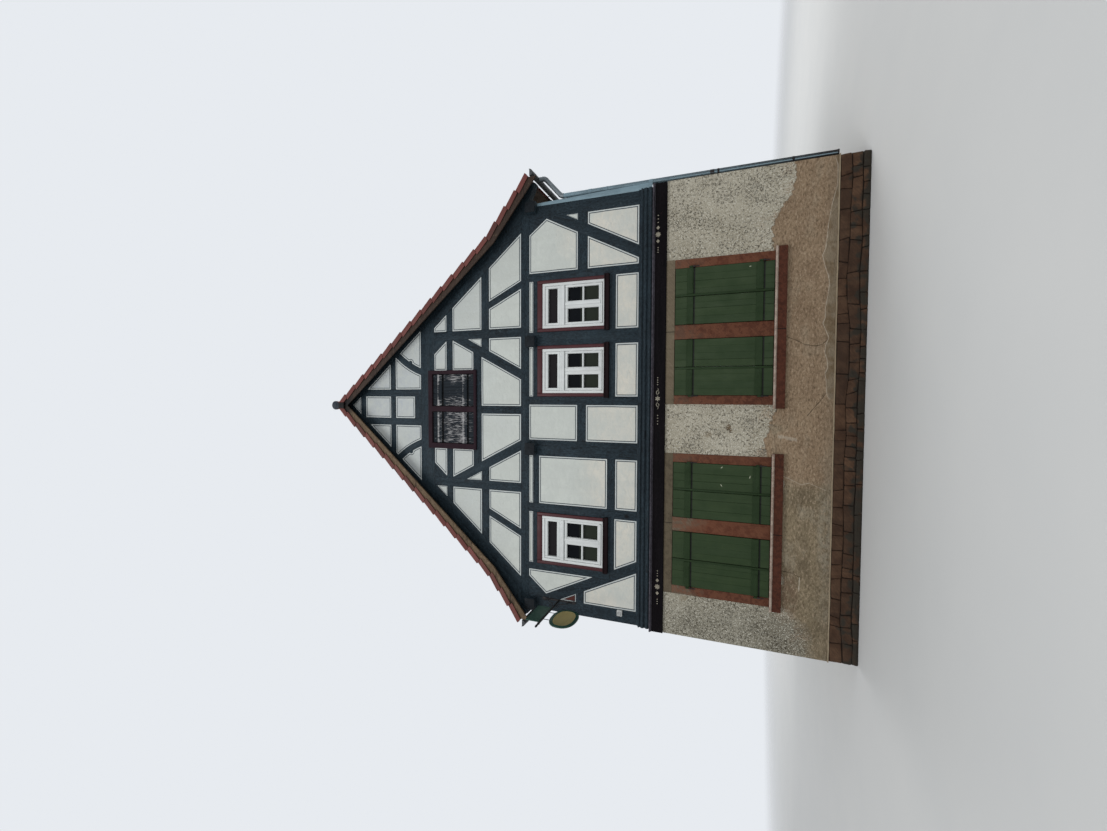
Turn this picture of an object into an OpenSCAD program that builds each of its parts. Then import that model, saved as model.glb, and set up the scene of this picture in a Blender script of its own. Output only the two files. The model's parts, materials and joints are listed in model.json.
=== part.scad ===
// Half timbered house with a rendered masonry ground storey, a timber framed
// upper storey and a steep gable roof with kicked eaves. Millimetres, +Z up.
// The origin is the middle of the footprint on the ground, and the street
// gable faces -Y. Front outlines are drawn in X and Z, side ones in Y and Z.

/* [Ground storey] */
// Width of the masonry across the street front
house_w = 7900; // [7400:10:8600]
// Depth of the house from gable to gable
house_d = 9600; // [8400:100:11600]
// Height of the sandstone plinth
plinth_h = 415; // [380:5:460]
// Top of the masonry walls
wall_top = 3000; // [2960:10:3040]
// Thickness of the masonry walls
wall_t = 480; // [400:10:560]
// How far the plinth is set back under the render
plinth_in = 15; // [5:1:25]
// Thickness of the ground floor
ground_floor_h = 380; // [300:10:400]

/* [Ground storey windows] */
// Clear width between the stone jambs of one window
clear_w = 965; // [900:5:1000]
// Top of the window sill stones
sill_top = 1285; // [1200:5:1350]
// Underside of the window lintels
lintel_z = 2855; // [2820:5:2880]
// Width of a stone jamb
jamb_w = 150; // [120:5:180]
// Width of the mullion between the two windows of a pair
mullion_w = 240; // [220:5:260]
// Middle of the left and right window pair
pair_x = [-1970, 1355];
// How far the stones stand in front of the render
stone_proud = 20; // [10:1:30]

/* [Shutters] */
// Thickness of the shutter boards
leaf_t = 30; // [24:1:34]
// Thickness of the battens on the boards
batten_t = 22; // [16:1:26]
// Opening angle of the shutters
shutter_open = 0; // [0:1:170]

/* [Timber frame] */
// Left and right faces of the upper storey
frame_x = [-3910, 3875];
// Depth of the wall timbers
timber_t = 160; // [140:5:180]
// How far the plaster lies behind the timber faces
infill_back = 8; // [4:1:20]
// Thickness of the plaster and brick panels
infill_t = 130; // [110:5:140]
// Underside and top of the sill beams
sill_beam = [3240, 3490];
// Underside and top of the tie beams
tie_beam = [5610, 5790];
// Underside and top of the beams that run from gable to gable
long_beam = [5445, 5650];

/* [Roof] */
// Top of the tiles at the ridge
ridge_z = 10260; // [10000:10:10500]
// Sideways place of the ridge
ridge_x = 40; // [0:5:60]
// Pitch of the main slopes
pitch = 49.3; // [48:0.1:50]
// Pitch of the kicked eaves
kick_pitch = 38.5; // [38:0.5:40]
// Distance from the ridge to the kick, left and right
kick_run = [3300, 3300];
// Distance from the ridge to the end of the tiles, left and right
eave_run = [4150, 4340];
// Overhang of the roof past the gable timbers
verge = 250; // [180:10:320]
// Thickness of tiles and battens
cover_t = 60; // [50:5:70]
// Depth of a rafter
rafter_h = 95; // [90:5:120]

/* [Hidden] */
$fn = 48;
front_y = -house_d / 2;
back_y = house_d / 2;
half_w = house_w / 2;
cover_top = 12;
cover_low = cover_top + cover_t;
rafter_low = cover_low + rafter_h;
strut_low = rafter_low + 197;
gable_top = rafter_low + 1;
pair_w = 2 * clear_w + mullion_w + 2 * jamb_w;
single_w = clear_w + 2 * jamb_w;
window_sill_z = sill_top - 175;
rebate = 35;
reveal_w = clear_w - 2 * rebate;
reveal_h = lintel_z - sill_top - 2 * rebate;
timber = [0.14, 0.20, 0.23];
plaster = [0.86, 0.87, 0.84];
render_c = [0.58, 0.55, 0.50];
sandstone = [0.52, 0.27, 0.19];
plinth_c = [0.33, 0.24, 0.20];
shutter_c = [0.20, 0.29, 0.18];
red_c = [0.34, 0.14, 0.15];
white_c = [0.90, 0.90, 0.88];
tile_c = [0.50, 0.26, 0.21];
zinc_c = [0.42, 0.48, 0.52];
iron_c = [0.10, 0.11, 0.12];
board_c = [0.10, 0.09, 0.11];
wood_c = [0.42, 0.32, 0.24];

/* Placing outlines on the four sides. */

// A front outline pushed in from depth y0 to y1 behind the street face
module on_front(y0, y1) {
    translate([0, front_y + y1, 0])
        rotate([90, 0, 0])
            linear_extrude(y1 - y0) children();
}

// The same on the back face, where depth is counted from the back
module on_back(y0, y1) {
    translate([0, back_y - y0, 0])
        rotate([90, 0, 0])
            linear_extrude(y1 - y0) children();
}

// A side outline, drawn in Y and Z, from depth x0 to x1 behind the left face
module on_left(x0, x1, face = frame_x[0]) {
    translate([face + x0, 0, 0])
        rotate([90, 0, 90])
            linear_extrude(x1 - x0) children();
}

// The same on the right face
module on_right(x0, x1, face = frame_x[1]) {
    translate([face - x1, 0, 0])
        rotate([90, 0, 90])
            linear_extrude(x1 - x0) children();
}

// A rectangle from its left, right, lower and upper edges
module field(x0, x1, z0, z1) {
    translate([x0, z0]) square([x1 - x0, z1 - z0]);
}

// A straight timber between two points on its middle line
module stick(p, q, w) {
    run = q - p;
    translate(p)
        rotate(atan2(run[1], run[0]))
            translate([0, -w / 2]) square([norm(run), w]);
}

/* Roof lines, measured out from the ridge. */

// Height of the tile line over the kick
function kick_z(s) = ridge_z - tan(pitch) * kick_run[s];

// Run at which the line that lies t below the tiles changes pitch
function kick_u(s, t) = kick_run[s]
    + t * (1 / cos(pitch) - 1 / cos(kick_pitch)) / (tan(kick_pitch) - tan(pitch));

// Height of the line that lies t below the tiles, on the main slope
function main_z(u, t) = ridge_z - tan(pitch) * u - t / cos(pitch);

// The same on the kicked eave
function eave_z(s, u, t) = kick_z(s) - tan(kick_pitch) * (u - kick_run[s])
    - t / cos(kick_pitch);

// A band of the roof between two depths below the tile line, in run and height
module roof_band(s, t0, t1, short = 0) {
    end = eave_run[s] - short;
    polygon([
        [0, main_z(0, t0)],
        [kick_u(s, t0), main_z(kick_u(s, t0), t0)],
        [end, eave_z(s, end, t0)],
        [end, eave_z(s, end, t1)],
        [kick_u(s, t1), main_z(kick_u(s, t1), t1)],
        [0, main_z(0, t1)]
    ]);
}

// Turns run and height into X and Z on the left or right side
module slope(s) {
    translate([ridge_x, 0]) mirror([1 - s, 0]) children();
}

// The gable triangle under the straight line that lies t below the tiles,
// down to the height z
module under_slopes(t, z) {
    run = (main_z(0, t) - z) / tan(pitch);
    polygon([[ridge_x - run, z], [ridge_x + run, z], [ridge_x, main_z(0, t)]]);
}

/* Ground storey. */

// Middles of the single windows in the long walls, and of the back ones
side_window_y = [-2900, 0, 2900];
back_window_x = [-2500, 2500];
door_clear = [1000, 2150];

module plinth() {
    color(plinth_c)
        difference() {
            translate([-half_w + plinth_in, front_y + plinth_in, 0])
                cube([house_w - 2 * plinth_in, house_d - 2 * plinth_in, plinth_h]);
            translate([-half_w + wall_t, front_y + wall_t, -1])
                cube([house_w - 2 * wall_t, house_d - 2 * wall_t, plinth_h + 2]);
            translate([-door_clear[0] / 2 - jamb_w, back_y - wall_t - 1, ground_floor_h])
                cube([door_clear[0] + 2 * jamb_w, wall_t + 20, plinth_h]);
        }
}

module ground_floor() {
    color([0.50, 0.44, 0.38])
        translate([-half_w + wall_t, front_y + wall_t, 0])
            cube([house_w - 2 * wall_t, house_d - 2 * wall_t, ground_floor_h]);
}

module front_wall() {
    color(render_c)
        on_front(0, wall_t)
            difference() {
                field(-half_w, half_w, plinth_h, wall_top);
                for (x = pair_x)
                    field(x - pair_w / 2, x + pair_w / 2, window_sill_z, wall_top + 1);
            }
}

module side_wall_outline() {
    difference() {
        field(front_y + wall_t, back_y - wall_t, plinth_h, wall_top);
        for (y = side_window_y)
            field(y - single_w / 2, y + single_w / 2, window_sill_z, wall_top + 1);
    }
}

module side_walls() {
    color(render_c) {
        on_left(0, wall_t, -half_w) side_wall_outline();
        on_right(0, wall_t, half_w) side_wall_outline();
    }
}

module back_wall() {
    color(render_c)
        on_back(0, wall_t)
            difference() {
                field(-half_w, half_w, plinth_h, wall_top);
                for (x = back_window_x)
                    field(x - single_w / 2, x + single_w / 2, window_sill_z, wall_top + 1);
                field(-door_clear[0] / 2 - jamb_w, door_clear[0] / 2 + jamb_w,
                      0, wall_top + 1);
            }
}

// Plan of a jamb, its corner at the clear opening, with the shutter rebate
module jamb_plan() {
    polygon([
        [-jamb_w, -stone_proud], [0, -stone_proud], [0, 30],
        [rebate, 30], [rebate, 200], [-jamb_w, 200]
    ]);
}

module mullion_plan() {
    w = mullion_w / 2;
    polygon([
        [-w, -stone_proud], [w, -stone_proud], [w, 30], [w + rebate, 30],
        [w + rebate, 200], [-w - rebate, 200], [-w - rebate, 30], [-w, 30]
    ]);
}

// Jambs on both sides of an opening that is w wide between them
module jamb_set(w, z0, z1) {
    for (side = [0, 1])
        mirror([side, 0, 0])
            translate([-w / 2, 0, z0])
                linear_extrude(z1 - z0) jamb_plan();
}

// Runs its child on each single window, drawn as if it faced the street
module at_single_windows() {
    for (y = side_window_y) {
        translate([-half_w, y, 0]) rotate([0, 0, -90]) children();
        translate([half_w, y, 0]) rotate([0, 0, 90]) children();
    }
    for (x = back_window_x)
        translate([x, back_y, 0]) rotate([0, 0, 180]) children();
}

module at_pairs() {
    for (x = pair_x)
        translate([x, front_y, 0]) children();
}

module at_door() {
    translate([0, back_y, 0]) rotate([0, 0, 180]) children();
}

module stone_jambs() {
    color(sandstone) {
        at_pairs() {
            jamb_set(2 * clear_w + mullion_w, sill_top, lintel_z);
            translate([0, 0, sill_top])
                linear_extrude(lintel_z - sill_top) mullion_plan();
        }
        at_single_windows() jamb_set(clear_w, sill_top, lintel_z);
        at_door() jamb_set(door_clear[0], ground_floor_h, ground_floor_h + door_clear[1]);
    }
}

// Side view of a lintel, in depth and height, with the rebate under it
module lintel_profile(z0) {
    polygon([
        [-stone_proud, z0], [30, z0], [30, z0 - rebate], [200, z0 - rebate],
        [200, wall_top], [-stone_proud, wall_top]
    ]);
}

module lintel(w, z0, inner) {
    difference() {
        translate([-w / 2, 0, 0])
            rotate([90, 0, 90]) linear_extrude(w) lintel_profile(z0);
        for (side = [-1, 1])
            translate([side * (inner / 2 + w / 2), 100, z0 - 20])
                cube([w, 400, 40], center = true);
    }
}

module stone_lintels() {
    color([0.56, 0.48, 0.38]) {
        at_pairs()
            difference() {
                lintel(pair_w, lintel_z, pair_w - 2 * jamb_w - 2 * rebate);
                translate([-mullion_w / 2 - rebate, -50, lintel_z - rebate - 1])
                    cube([mullion_w + 2 * rebate, 300, rebate + 1]);
            }
        at_single_windows() lintel(single_w, lintel_z, reveal_w);
        at_door()
            lintel(door_clear[0] + 2 * jamb_w, ground_floor_h + door_clear[1],
                   door_clear[0] - 2 * rebate);
    }
}

// Side view of a sill stone: a square stone with a thin nose along its top
module sill_profile() {
    polygon([
        [200, window_sill_z], [-60, window_sill_z], [-60, sill_top - 36],
        [-85, sill_top - 30], [-85, sill_top - 8], [-77, sill_top],
        [30, sill_top], [30, sill_top + rebate], [200, sill_top + rebate]
    ]);
}

// A sill whose ears lap in front of the wall on both sides
module sill(w, posts) {
    difference() {
        translate([-w / 2 - 60, 0, 0])
            rotate([90, 0, 90]) linear_extrude(w + 120) sill_profile();
        for (side = [-1, 1])
            translate([side * (w / 2 + 100), 200, sill_top])
                cube([200, 400, 800], center = true);
        for (p = posts)
            translate([p[0], -100, sill_top]) cube([p[1] - p[0], 400, 100]);
    }
}

module stone_sills() {
    edge = clear_w + mullion_w / 2 - rebate;
    far = pair_w / 2 + 1;
    low = reveal_w / 2;
    color(sandstone) {
        at_pairs()
            sill(pair_w, [[-far, -edge], [edge, far],
                          [-mullion_w / 2 - rebate, mullion_w / 2 + rebate]]);
        at_single_windows()
            sill(single_w, [[-far, -low], [low, far]]);
    }
}

// A white window: frame, transom and the meeting stiles below it
module window_outline(w, h, bar = 52, light = 0.66) {
    difference() {
        field(-w / 2, w / 2, 0, h);
        field(-w / 2 + bar, w / 2 - bar, light * h + bar, h - bar);
        for (side = [0, 1])
            mirror([side, 0])
                field(bar / 2, w / 2 - bar, bar, light * h);
    }
}

// Frames its child stands upright, from depth y0 to y1 and lifted by z
module upright(y0, y1, z) {
    translate([0, y1, z]) rotate([90, 0, 0]) linear_extrude(y1 - y0) children();
}

module ground_window_frames() {
    color(white_c) {
        at_pairs()
            for (side = [-1, 1])
                translate([side * (mullion_w + clear_w) / 2, 0, 0])
                    upright(120, 180, sill_top + rebate)
                        window_outline(reveal_w, reveal_h);
        at_single_windows()
            upright(120, 180, sill_top + rebate) window_outline(reveal_w, reveal_h);
    }
}

module ground_glass_sheet() {
    upright(180, 186, sill_top + rebate)
        field(-reveal_w / 2 + 30, reveal_w / 2 - 30, 30, reveal_h - 30);
}

module ground_window_glass() {
    color([0.15, 0.18, 0.20, 0.6]) {
        at_pairs()
            for (side = [-1, 1])
                translate([side * (mullion_w + clear_w) / 2, 0, 0]) ground_glass_sheet();
        at_single_windows() ground_glass_sheet();
    }
}

// A panelled house door in its frame
module back_door() {
    w = door_clear[0] - 2 * rebate;
    h = door_clear[1] - rebate;
    color(shutter_c)
        at_door()
            difference() {
                upright(110, 170, ground_floor_h) field(-w / 2, w / 2, 0, h);
                for (z = [180, 820, 1330])
                    for (side = [0, 1])
                        mirror([side, 0, 0])
                            translate([60, 100, ground_floor_h + z])
                                cube([w / 2 - 170, 26, z == 180 ? 560 : 430]);
            }
}

module door_steps() {
    color(sandstone)
        at_door()
            for (step = [0, 1])
                translate([-650, plinth_in - 300 * (2 - step), 0])
                    cube([1300, 300, (step + 1) * ground_floor_h / 3]);
}

/* Bifold shutters. Each window has an outer leaf that hangs on pintles in the
   jamb and an inner leaf that is hinged behind its free edge. */

leaf_z = sill_top + 8;
leaf_h = lintel_z - sill_top - 18;
pin_y = -(leaf_t + batten_t + 14);
pin_out = 8;
joint_u = 487;
fold_y = 8;
hinge_z = [leaf_z + 200, leaf_z + leaf_h - 260];
batten_h = [110, 105];

// Outer leaf, drawn with its hinge edge at u = 0 and its inner edge to the right
module outer_leaf() {
    first = 5;
    last = joint_u - 4;
    translate([first, -leaf_t, leaf_z]) cube([last - first, leaf_t, leaf_h]);
    translate([last - 36, -leaf_t - 14, leaf_z]) cube([36, 14, leaf_h]);
    for (k = [0, 1]) {
        z = hinge_z[k];
        translate([first, -leaf_t - batten_t, z - 40])
            cube([last - 36 - first, batten_t, batten_h[k]]);
        translate([-pin_out, pin_y, z - 25])
            difference() {
                union() {
                    cylinder(r = 14, h = 50);
                    translate([0, 8, 0]) cube([first + 380, 6, 50]);
                }
                translate([0, 0, -1]) cylinder(r = 8.5, h = 52);
            }
        // Knuckle at the back of the free edge, with its leaf plate
        translate([joint_u, fold_y, z - 25]) {
            difference() {
                union() {
                    cylinder(r = 8, h = 50);
                    translate([-70, -8, 0]) cube([70, 4, 50]);
                }
                translate([0, 0, -1]) cylinder(r = 5, h = 52);
            }
        }
    }
}

// Inner leaf, drawn in the same place
module inner_leaf() {
    first = joint_u + 4;
    last = clear_w - 10;
    translate([first, -leaf_t, leaf_z]) cube([last - first, leaf_t, leaf_h]);
    for (k = [0, 1]) {
        z = hinge_z[k];
        translate([first, -leaf_t - batten_t, z - 40])
            cube([last - first, batten_t, batten_h[k]]);
        // Pin through the outer leaf's knuckle, held above and below it
        translate([joint_u, fold_y, z - 60]) cylinder(r = 4, h = 120);
        for (dz = [-60, 30])
            translate([joint_u, fold_y, z + dz]) {
                cylinder(r = 8, h = 30);
                translate([0, -8, 0]) cube([70, 4, 30]);
            }
    }
}

// Places a shutter that hangs on the left or right side of its window
module hang(n) {
    pair = n < 3 ? 0 : 1;
    left = n % 2 == 1;
    x = pair_x[pair] + (left ? -1 : 1) * (mullion_w / 2 + clear_w);
    translate([x, front_y, 0]) mirror([left ? 0 : 1, 0, 0]) children();
}

module shutter_outer(n) {
    color(shutter_c)
        hang(n)
            translate([-pin_out, pin_y, 0])
                rotate([0, 0, -shutter_open])
                    translate([pin_out, -pin_y, 0]) outer_leaf();
}

module shutter_inner(n) {
    color(shutter_c)
        hang(n)
            translate([-pin_out, pin_y, 0])
                rotate([0, 0, -shutter_open])
                    translate([pin_out + joint_u, fold_y - pin_y, 0])
                        rotate([0, 0, shutter_open])
                            translate([-joint_u, -fold_y, 0]) inner_leaf();
}

// Hooks in the jamb: a pin through the eye of each strap and a tail in the stone
module shutter_pintles() {
    color(iron_c)
        for (n = [1 : 4])
            hang(n)
                for (z = hinge_z)
                    translate([-pin_out, pin_y, z]) {
                        translate([0, 0, -55]) cylinder(r = 7, h = 92);
                        translate([0, 0, -62]) cylinder(r = 14, h = 30);
                        translate([-8, 0, -62]) cube([16, 46, 16]);
                    }
}

/* Upper storey. */

// The floor between the storeys, carried by the masonry
module upper_floor() {
    color(wood_c)
        translate([frame_x[0], front_y, wall_top])
            cube([frame_x[1] - frame_x[0], house_d, sill_beam[0] - wall_top]);
}

// Side view of the board over the ground storey, with its crowning moulding
module jetty_board_profile() {
    polygon([
        [0, wall_top], [-38, wall_top], [-44, wall_top + 12], [-38, wall_top + 24],
        [-38, wall_top + 196], [-58, wall_top + 208], [-78, wall_top + 222],
        [-78, sill_beam[0]], [0, sill_beam[0]]
    ]);
}

module jetty_board() {
    color(board_c)
        translate([-half_w, front_y, 0])
            rotate([90, 0, 90]) linear_extrude(2 * half_w - 20) jetty_board_profile();
}

// Side view of the moulded sill beam: two rolls with fillets between them
module sill_beam_profile() {
    low = sill_beam[0];
    difference() {
        union() {
            field(0, timber_t, low, sill_beam[1]);
            field(-40, 0, low, sill_beam[1] - 30);
            translate([-40, low + 40]) circle(r = 30);
            translate([-34, low + 122]) circle(r = 34);
            field(-64, 0, low + 176, low + 200);
        }
        translate([-50, sill_beam[1] - 4]) circle(r = 46);
        field(-200, 300, low - 100, low);
    }
}

module sill_beams() {
    inner = timber_t + 60;
    w = frame_x[1] - frame_x[0];
    color(timber) {
        difference() {
            translate([frame_x[0], front_y, sill_beam[0]])
                cube([w, house_d, sill_beam[1] - sill_beam[0]]);
            translate([frame_x[0] + inner, front_y + inner, sill_beam[0] - 1])
                cube([w - 2 * inner, house_d - 2 * inner, 400]);
        }
        translate([frame_x[0], front_y, 0])
            rotate([90, 0, 90]) linear_extrude(w) sill_beam_profile();
    }
}

// Left edge and width of the posts of the street front, without its corners
front_posts = [
    [-3140, 140], [-2000, 175], [-900, 310], [90, 160], [1215, 265], [2450, 155]
];
corner_w = 245;

// Window bays of the street front, by their left and right posts
front_windows = [[-3000, -2000], [250, 1215], [1480, 2450]];
sill_rail = [3900, 4080];
head_rail = [5430, 5530];
mid_rail = [4450, 4630];
casing = [4080, 5430];

// Edges of the two girders that run from gable to gable
girders = [[-880, -650], [1200, 1400]];

// The outer posts end on the long braces, 1 mm clear of their outer edges
module front_posts_outline() {
    difference() {
        for (p = front_posts)
            field(p[0], p[0] + p[1], sill_beam[1], tie_beam[0]);
        polygon([[-3198, 3990], [-2951, 3476], [-3198, 3476]]);
    }
}

module front_braces_outline() {
    intersection() {
        field(frame_x[0] + corner_w, frame_x[1] - corner_w, sill_beam[1], tie_beam[0]);
        union() {
            stick([-3760, 5380], [-2760, 3300], 190);
            polygon([[-3665, 5165], [-3280, 5610], [-3665, 5610]]);
            stick([2722, 3290], [3760, 5330], 195);
            polygon([[3630, 5235], [3335, 5610], [3630, 5610]]);
        }
    }
}

module front_rails_outline() {
    for (w = front_windows) {
        field(w[0], w[1], sill_rail[0], sill_rail[1]);
        field(w[0], w[1], head_rail[0], head_rail[1]);
    }
    field(-1825, -900, sill_rail[0] - 10, sill_rail[1] - 35);
    field(-1825, -900, head_rail[0] - 30, head_rail[1]);
    field(-590, 90, mid_rail[0] + 5, mid_rail[1]);
    field(2605, frame_x[1] - corner_w, mid_rail[0] - 15, mid_rail[1]);
    field(frame_x[0] + corner_w, -3380, mid_rail[0] + 30, mid_rail[1] + 10);
}

module front_storey_outline() {
    field(frame_x[0] + corner_w, frame_x[1] - corner_w, sill_beam[1], tie_beam[0]);
}

module front_openings() {
    for (w = front_windows)
        field(w[0], w[1], casing[0], casing[1]);
}

module beam_ends_outline() {
    for (g = girders)
        field(g[0], g[1], long_beam[0], long_beam[1]);
}

// Bays along the long walls, between the corner posts
side_bays = 8;
side_post_w = 160;
side_len = house_d - 2 * corner_w;
side_step = side_len / side_bays;
side_window_bays = [1, 3, 4, 6];
side_plain_bays = [2, 5];

function bay_y(k) = -side_len / 2 + k * side_step;

module side_posts_outline() {
    for (k = [1 : side_bays - 1])
        field(bay_y(k) - side_post_w / 2, bay_y(k) + side_post_w / 2,
              sill_beam[1], long_beam[0]);
}

module side_braces_outline() {
    y1 = bay_y(1) - side_post_w / 2;
    intersection() {
        field(-side_len / 2, side_len / 2, sill_beam[1], long_beam[0]);
        for (side = [0, 1])
            mirror([side, 0])
                stick([bay_y(0) - 80, 5300], [y1 - 60, 3300], 180);
    }
}

module side_rails_outline() {
    for (k = side_window_bays) {
        field(bay_y(k), bay_y(k + 1), sill_rail[0], sill_rail[1]);
        field(bay_y(k), bay_y(k + 1), casing[1], long_beam[0]);
    }
    for (k = side_plain_bays)
        field(bay_y(k), bay_y(k + 1), mid_rail[0], mid_rail[1]);
    for (k = [0, side_bays - 1])
        field(bay_y(k), bay_y(k + 1), mid_rail[0], mid_rail[1]);
}

module side_openings() {
    for (k = side_window_bays)
        field(bay_y(k) + side_post_w / 2, bay_y(k + 1) - side_post_w / 2,
              casing[0], casing[1]);
}

module both_sides(x0, x1) {
    on_left(x0, x1) children();
    on_right(x0, x1) children();
}

module wall_posts() {
    color(timber) {
        on_front(0, timber_t)
            difference() {
                front_posts_outline();
                beam_ends_outline();
            }
        on_back(0, timber_t)
            difference() {
                front_posts_outline();
                beam_ends_outline();
            }
        both_sides(0, timber_t) side_posts_outline();
        difference() {
            for (x = [frame_x[0], frame_x[1] - corner_w], y = [front_y, back_y - corner_w])
                translate([x, y, sill_beam[1]])
                    cube([corner_w, corner_w, tie_beam[0] - sill_beam[1]]);
            long_beams();
        }
    }
}

module wall_braces() {
    color(timber) {
        on_front(0, timber_t)
            difference() {
                front_braces_outline();
                front_posts_outline();
            }
        on_back(0, timber_t)
            difference() {
                front_braces_outline();
                front_posts_outline();
            }
        both_sides(0, timber_t) side_braces_outline();
    }
}

module front_rails_cut() {
    difference() {
        front_rails_outline();
        front_posts_outline();
        front_braces_outline();
        beam_ends_outline();
    }
}

module wall_rails() {
    color(timber) {
        on_front(0, timber_t) front_rails_cut();
        on_back(0, timber_t) front_rails_cut();
        both_sides(0, timber_t)
            difference() {
                side_rails_outline();
                side_posts_outline();
                side_braces_outline();
            }
    }
}

module front_infill_outline() {
    difference() {
        front_storey_outline();
        front_posts_outline();
        front_braces_outline();
        front_rails_outline();
        front_openings();
        beam_ends_outline();
    }
}

module wall_infill() {
    color(plaster) {
        on_front(infill_back, infill_back + infill_t) front_infill_outline();
        on_back(infill_back, infill_back + infill_t) front_infill_outline();
        both_sides(infill_back, infill_back + infill_t)
            difference() {
                field(-side_len / 2, side_len / 2, sill_beam[1], long_beam[0]);
                side_posts_outline();
                side_braces_outline();
                side_rails_outline();
                side_openings();
            }
        both_sides(infill_back, infill_back + infill_t)
            for (k = [0 : tie_count - 2])
                field(front_y + timber_t + k * tie_step + 1,
                      front_y + (k + 1) * tie_step - 1, long_beam[1], tie_beam[1]);
    }
}

// How far the right plate stands out of the wall under it
beam_lip = 60;

// Plates over the long walls and two girders, with ends in front of the gables
module long_beams() {
    ends = 130;
    edges = [[frame_x[0], frame_x[0] + 220], girders[0], girders[1],
             [frame_x[1] - 145, frame_x[1] + beam_lip]];
    color(timber)
        for (e = edges)
            translate([e[0], front_y - ends, long_beam[0]])
                cube([e[1] - e[0], house_d + 2 * ends, long_beam[1] - long_beam[0]]);
}

tie_count = 12;
tie_step = (house_d - timber_t) / (tie_count - 1);

module tie_beams() {
    color(timber)
        difference() {
            for (k = [0 : tie_count - 1])
                translate([frame_x[0], front_y + k * tie_step, tie_beam[0]])
                    cube([frame_x[1] - frame_x[0], timber_t, tie_beam[1] - tie_beam[0]]);
            long_beams();
        }
}

// Boards on the tie beams, between the feet of the rafters
module attic_floor() {
    run = rafter_foot_u() - 30;
    color(wood_c)
        translate([ridge_x - run, front_y + timber_t, tie_beam[1]])
            cube([2 * run, house_d - 2 * timber_t, 30]);
}

/* Windows of the upper storey. */

casing_side = 62;
casing_head = 102;
casing_foot = 25;
window_h = casing[1] - casing[0] - casing_head - casing_foot;

// A red casing of boards with a projecting sill, for a bay that is w wide
module casing_piece(w) {
    z0 = casing[0];
    difference() {
        translate([-w / 2 + 0.5, -24, z0]) cube([w - 1, 100, casing[1] - z0]);
        translate([-w / 2 + casing_side, -30, z0 + casing_foot])
            cube([w - 2 * casing_side, 112, window_h]);
    }
    translate([-w / 2 - 25, -62, z0 - 70]) cube([w + 50, 62, 70]);
    translate([-w / 2 - 25, -72, z0]) cube([w + 50, 48, 22]);
}

// Runs its child on each upper window, with the width of the bay in $bay
module at_upper_windows() {
    for (w = front_windows) {
        $bay = w[1] - w[0];
        translate([(w[0] + w[1]) / 2, front_y, 0]) children();
        translate([(w[0] + w[1]) / 2, back_y, 0]) rotate([0, 0, 180]) children();
    }
    for (k = side_window_bays) {
        $bay = side_step - side_post_w;
        y = bay_y(k) + side_step / 2;
        translate([frame_x[0], y, 0]) rotate([0, 0, -90]) children();
        translate([frame_x[1], y, 0]) rotate([0, 0, 90]) children();
    }
}

module window_casings() {
    color(red_c)
        at_upper_windows() casing_piece($bay);
}

module upper_window_frames() {
    color(white_c)
        at_upper_windows()
            upright(-14, 56, casing[0] + casing_foot)
                window_outline($bay - 2 * casing_side, window_h);
}

module upper_window_glass() {
    color([0.15, 0.18, 0.20, 0.6])
        at_upper_windows()
            upright(56, 62, casing[0] + casing_foot)
                field(-$bay / 2 + casing_side + 30, $bay / 2 - casing_side - 30,
                      30, window_h - 30);
}

/* Gables. */

gable_rail_1 = [6495, 6670];
gable_rail_2 = [7350, 7500];
collar = [7800, 8145];
gable_rail_3 = [8805, 8940];
gable_rail_4 = [9630, 9775];
hatch = [-840, 785, 6780, 7930];
hatch_sill = [6670, 6860];

module gable_posts_outline(hatched) {
    for (x = [-1640, 1410])
        field(x, x + 180, tie_beam[1], collar[0]);
    field(-100, 60, tie_beam[1], hatched ? gable_rail_1[1] : collar[0]);
    for (x = [-380, 240])
        field(x, x + 155, collar[1], gable_rail_4[0]);
}

// Where the round knob sits on the inner edge of a curved brace
nose_a = 30.5;

module gable_braces_outline() {
    for (side = [0, 1])
        translate([-15, 0]) mirror([side, 0]) {
            intersection() {
                field(-1480, 0, tie_beam[1], 7450);
                stick([-630, 5660], [-1560, 7430], 178);
            }
            intersection() {
                field(-2700, -1640, tie_beam[1], gable_rail_1[0]);
                stick([-2500, 5650], [-1980, 6700], 130);
            }
            polygon([[-1460, 7440], [-1145, 7800], [-1460, 7800]]);
        }
    for (side = [0, 1])
        translate([10, 0]) mirror([side, 0])
            intersection() {
                field(-1400, -390, collar[1], gable_rail_3[0]);
                translate([-2392, 7565]) {
                    difference() {
                        circle(r = 1800, $fn = 180);
                        circle(r = 1662, $fn = 180);
                    }
                    rotate(nose_a) translate([1664, 0]) circle(r = 42);
                }
            }
}

module gable_rails_outline(hatched) {
    field(-4000, -1460, gable_rail_1[0], gable_rail_1[1]);
    field(1410, 4000, gable_rail_1[0], gable_rail_1[1]);
    field(-1500, -1130, gable_rail_1[0], gable_rail_1[1]);
    field(1130, 1480, gable_rail_1[0], gable_rail_1[1]);
    if (hatched)
        field(-1180, 1150, hatch_sill[0], hatch_sill[1]);
    for (side = [0, 1])
        mirror([side, 0])
            field(-3000, hatched ? -780 : -100, gable_rail_2[0], gable_rail_2[1]);
    field(-225, 240, collar[1], 8305);
    field(-4000, 4000, collar[0], collar[1]);
    field(-2000, 2000, gable_rail_3[0], gable_rail_3[1]);
    field(-2000, 2000, gable_rail_4[0], gable_rail_4[1]);
}

// Inclined struts under the rafters, from the tie beam to the collar beam
module gable_struts_outline() {
    difference() {
        intersection() {
            under_slopes(gable_top, tie_beam[1] - 100);
            field(frame_x[0], frame_x[1], tie_beam[1], collar[0]);
        }
        under_slopes(strut_low, tie_beam[1] - 200);
        gable_posts_outline(true);
    }
}

module gable_solid_outline(hatched) {
    gable_posts_outline(hatched);
    gable_braces_outline();
    gable_rails_outline(hatched);
    gable_struts_outline();
}

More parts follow.
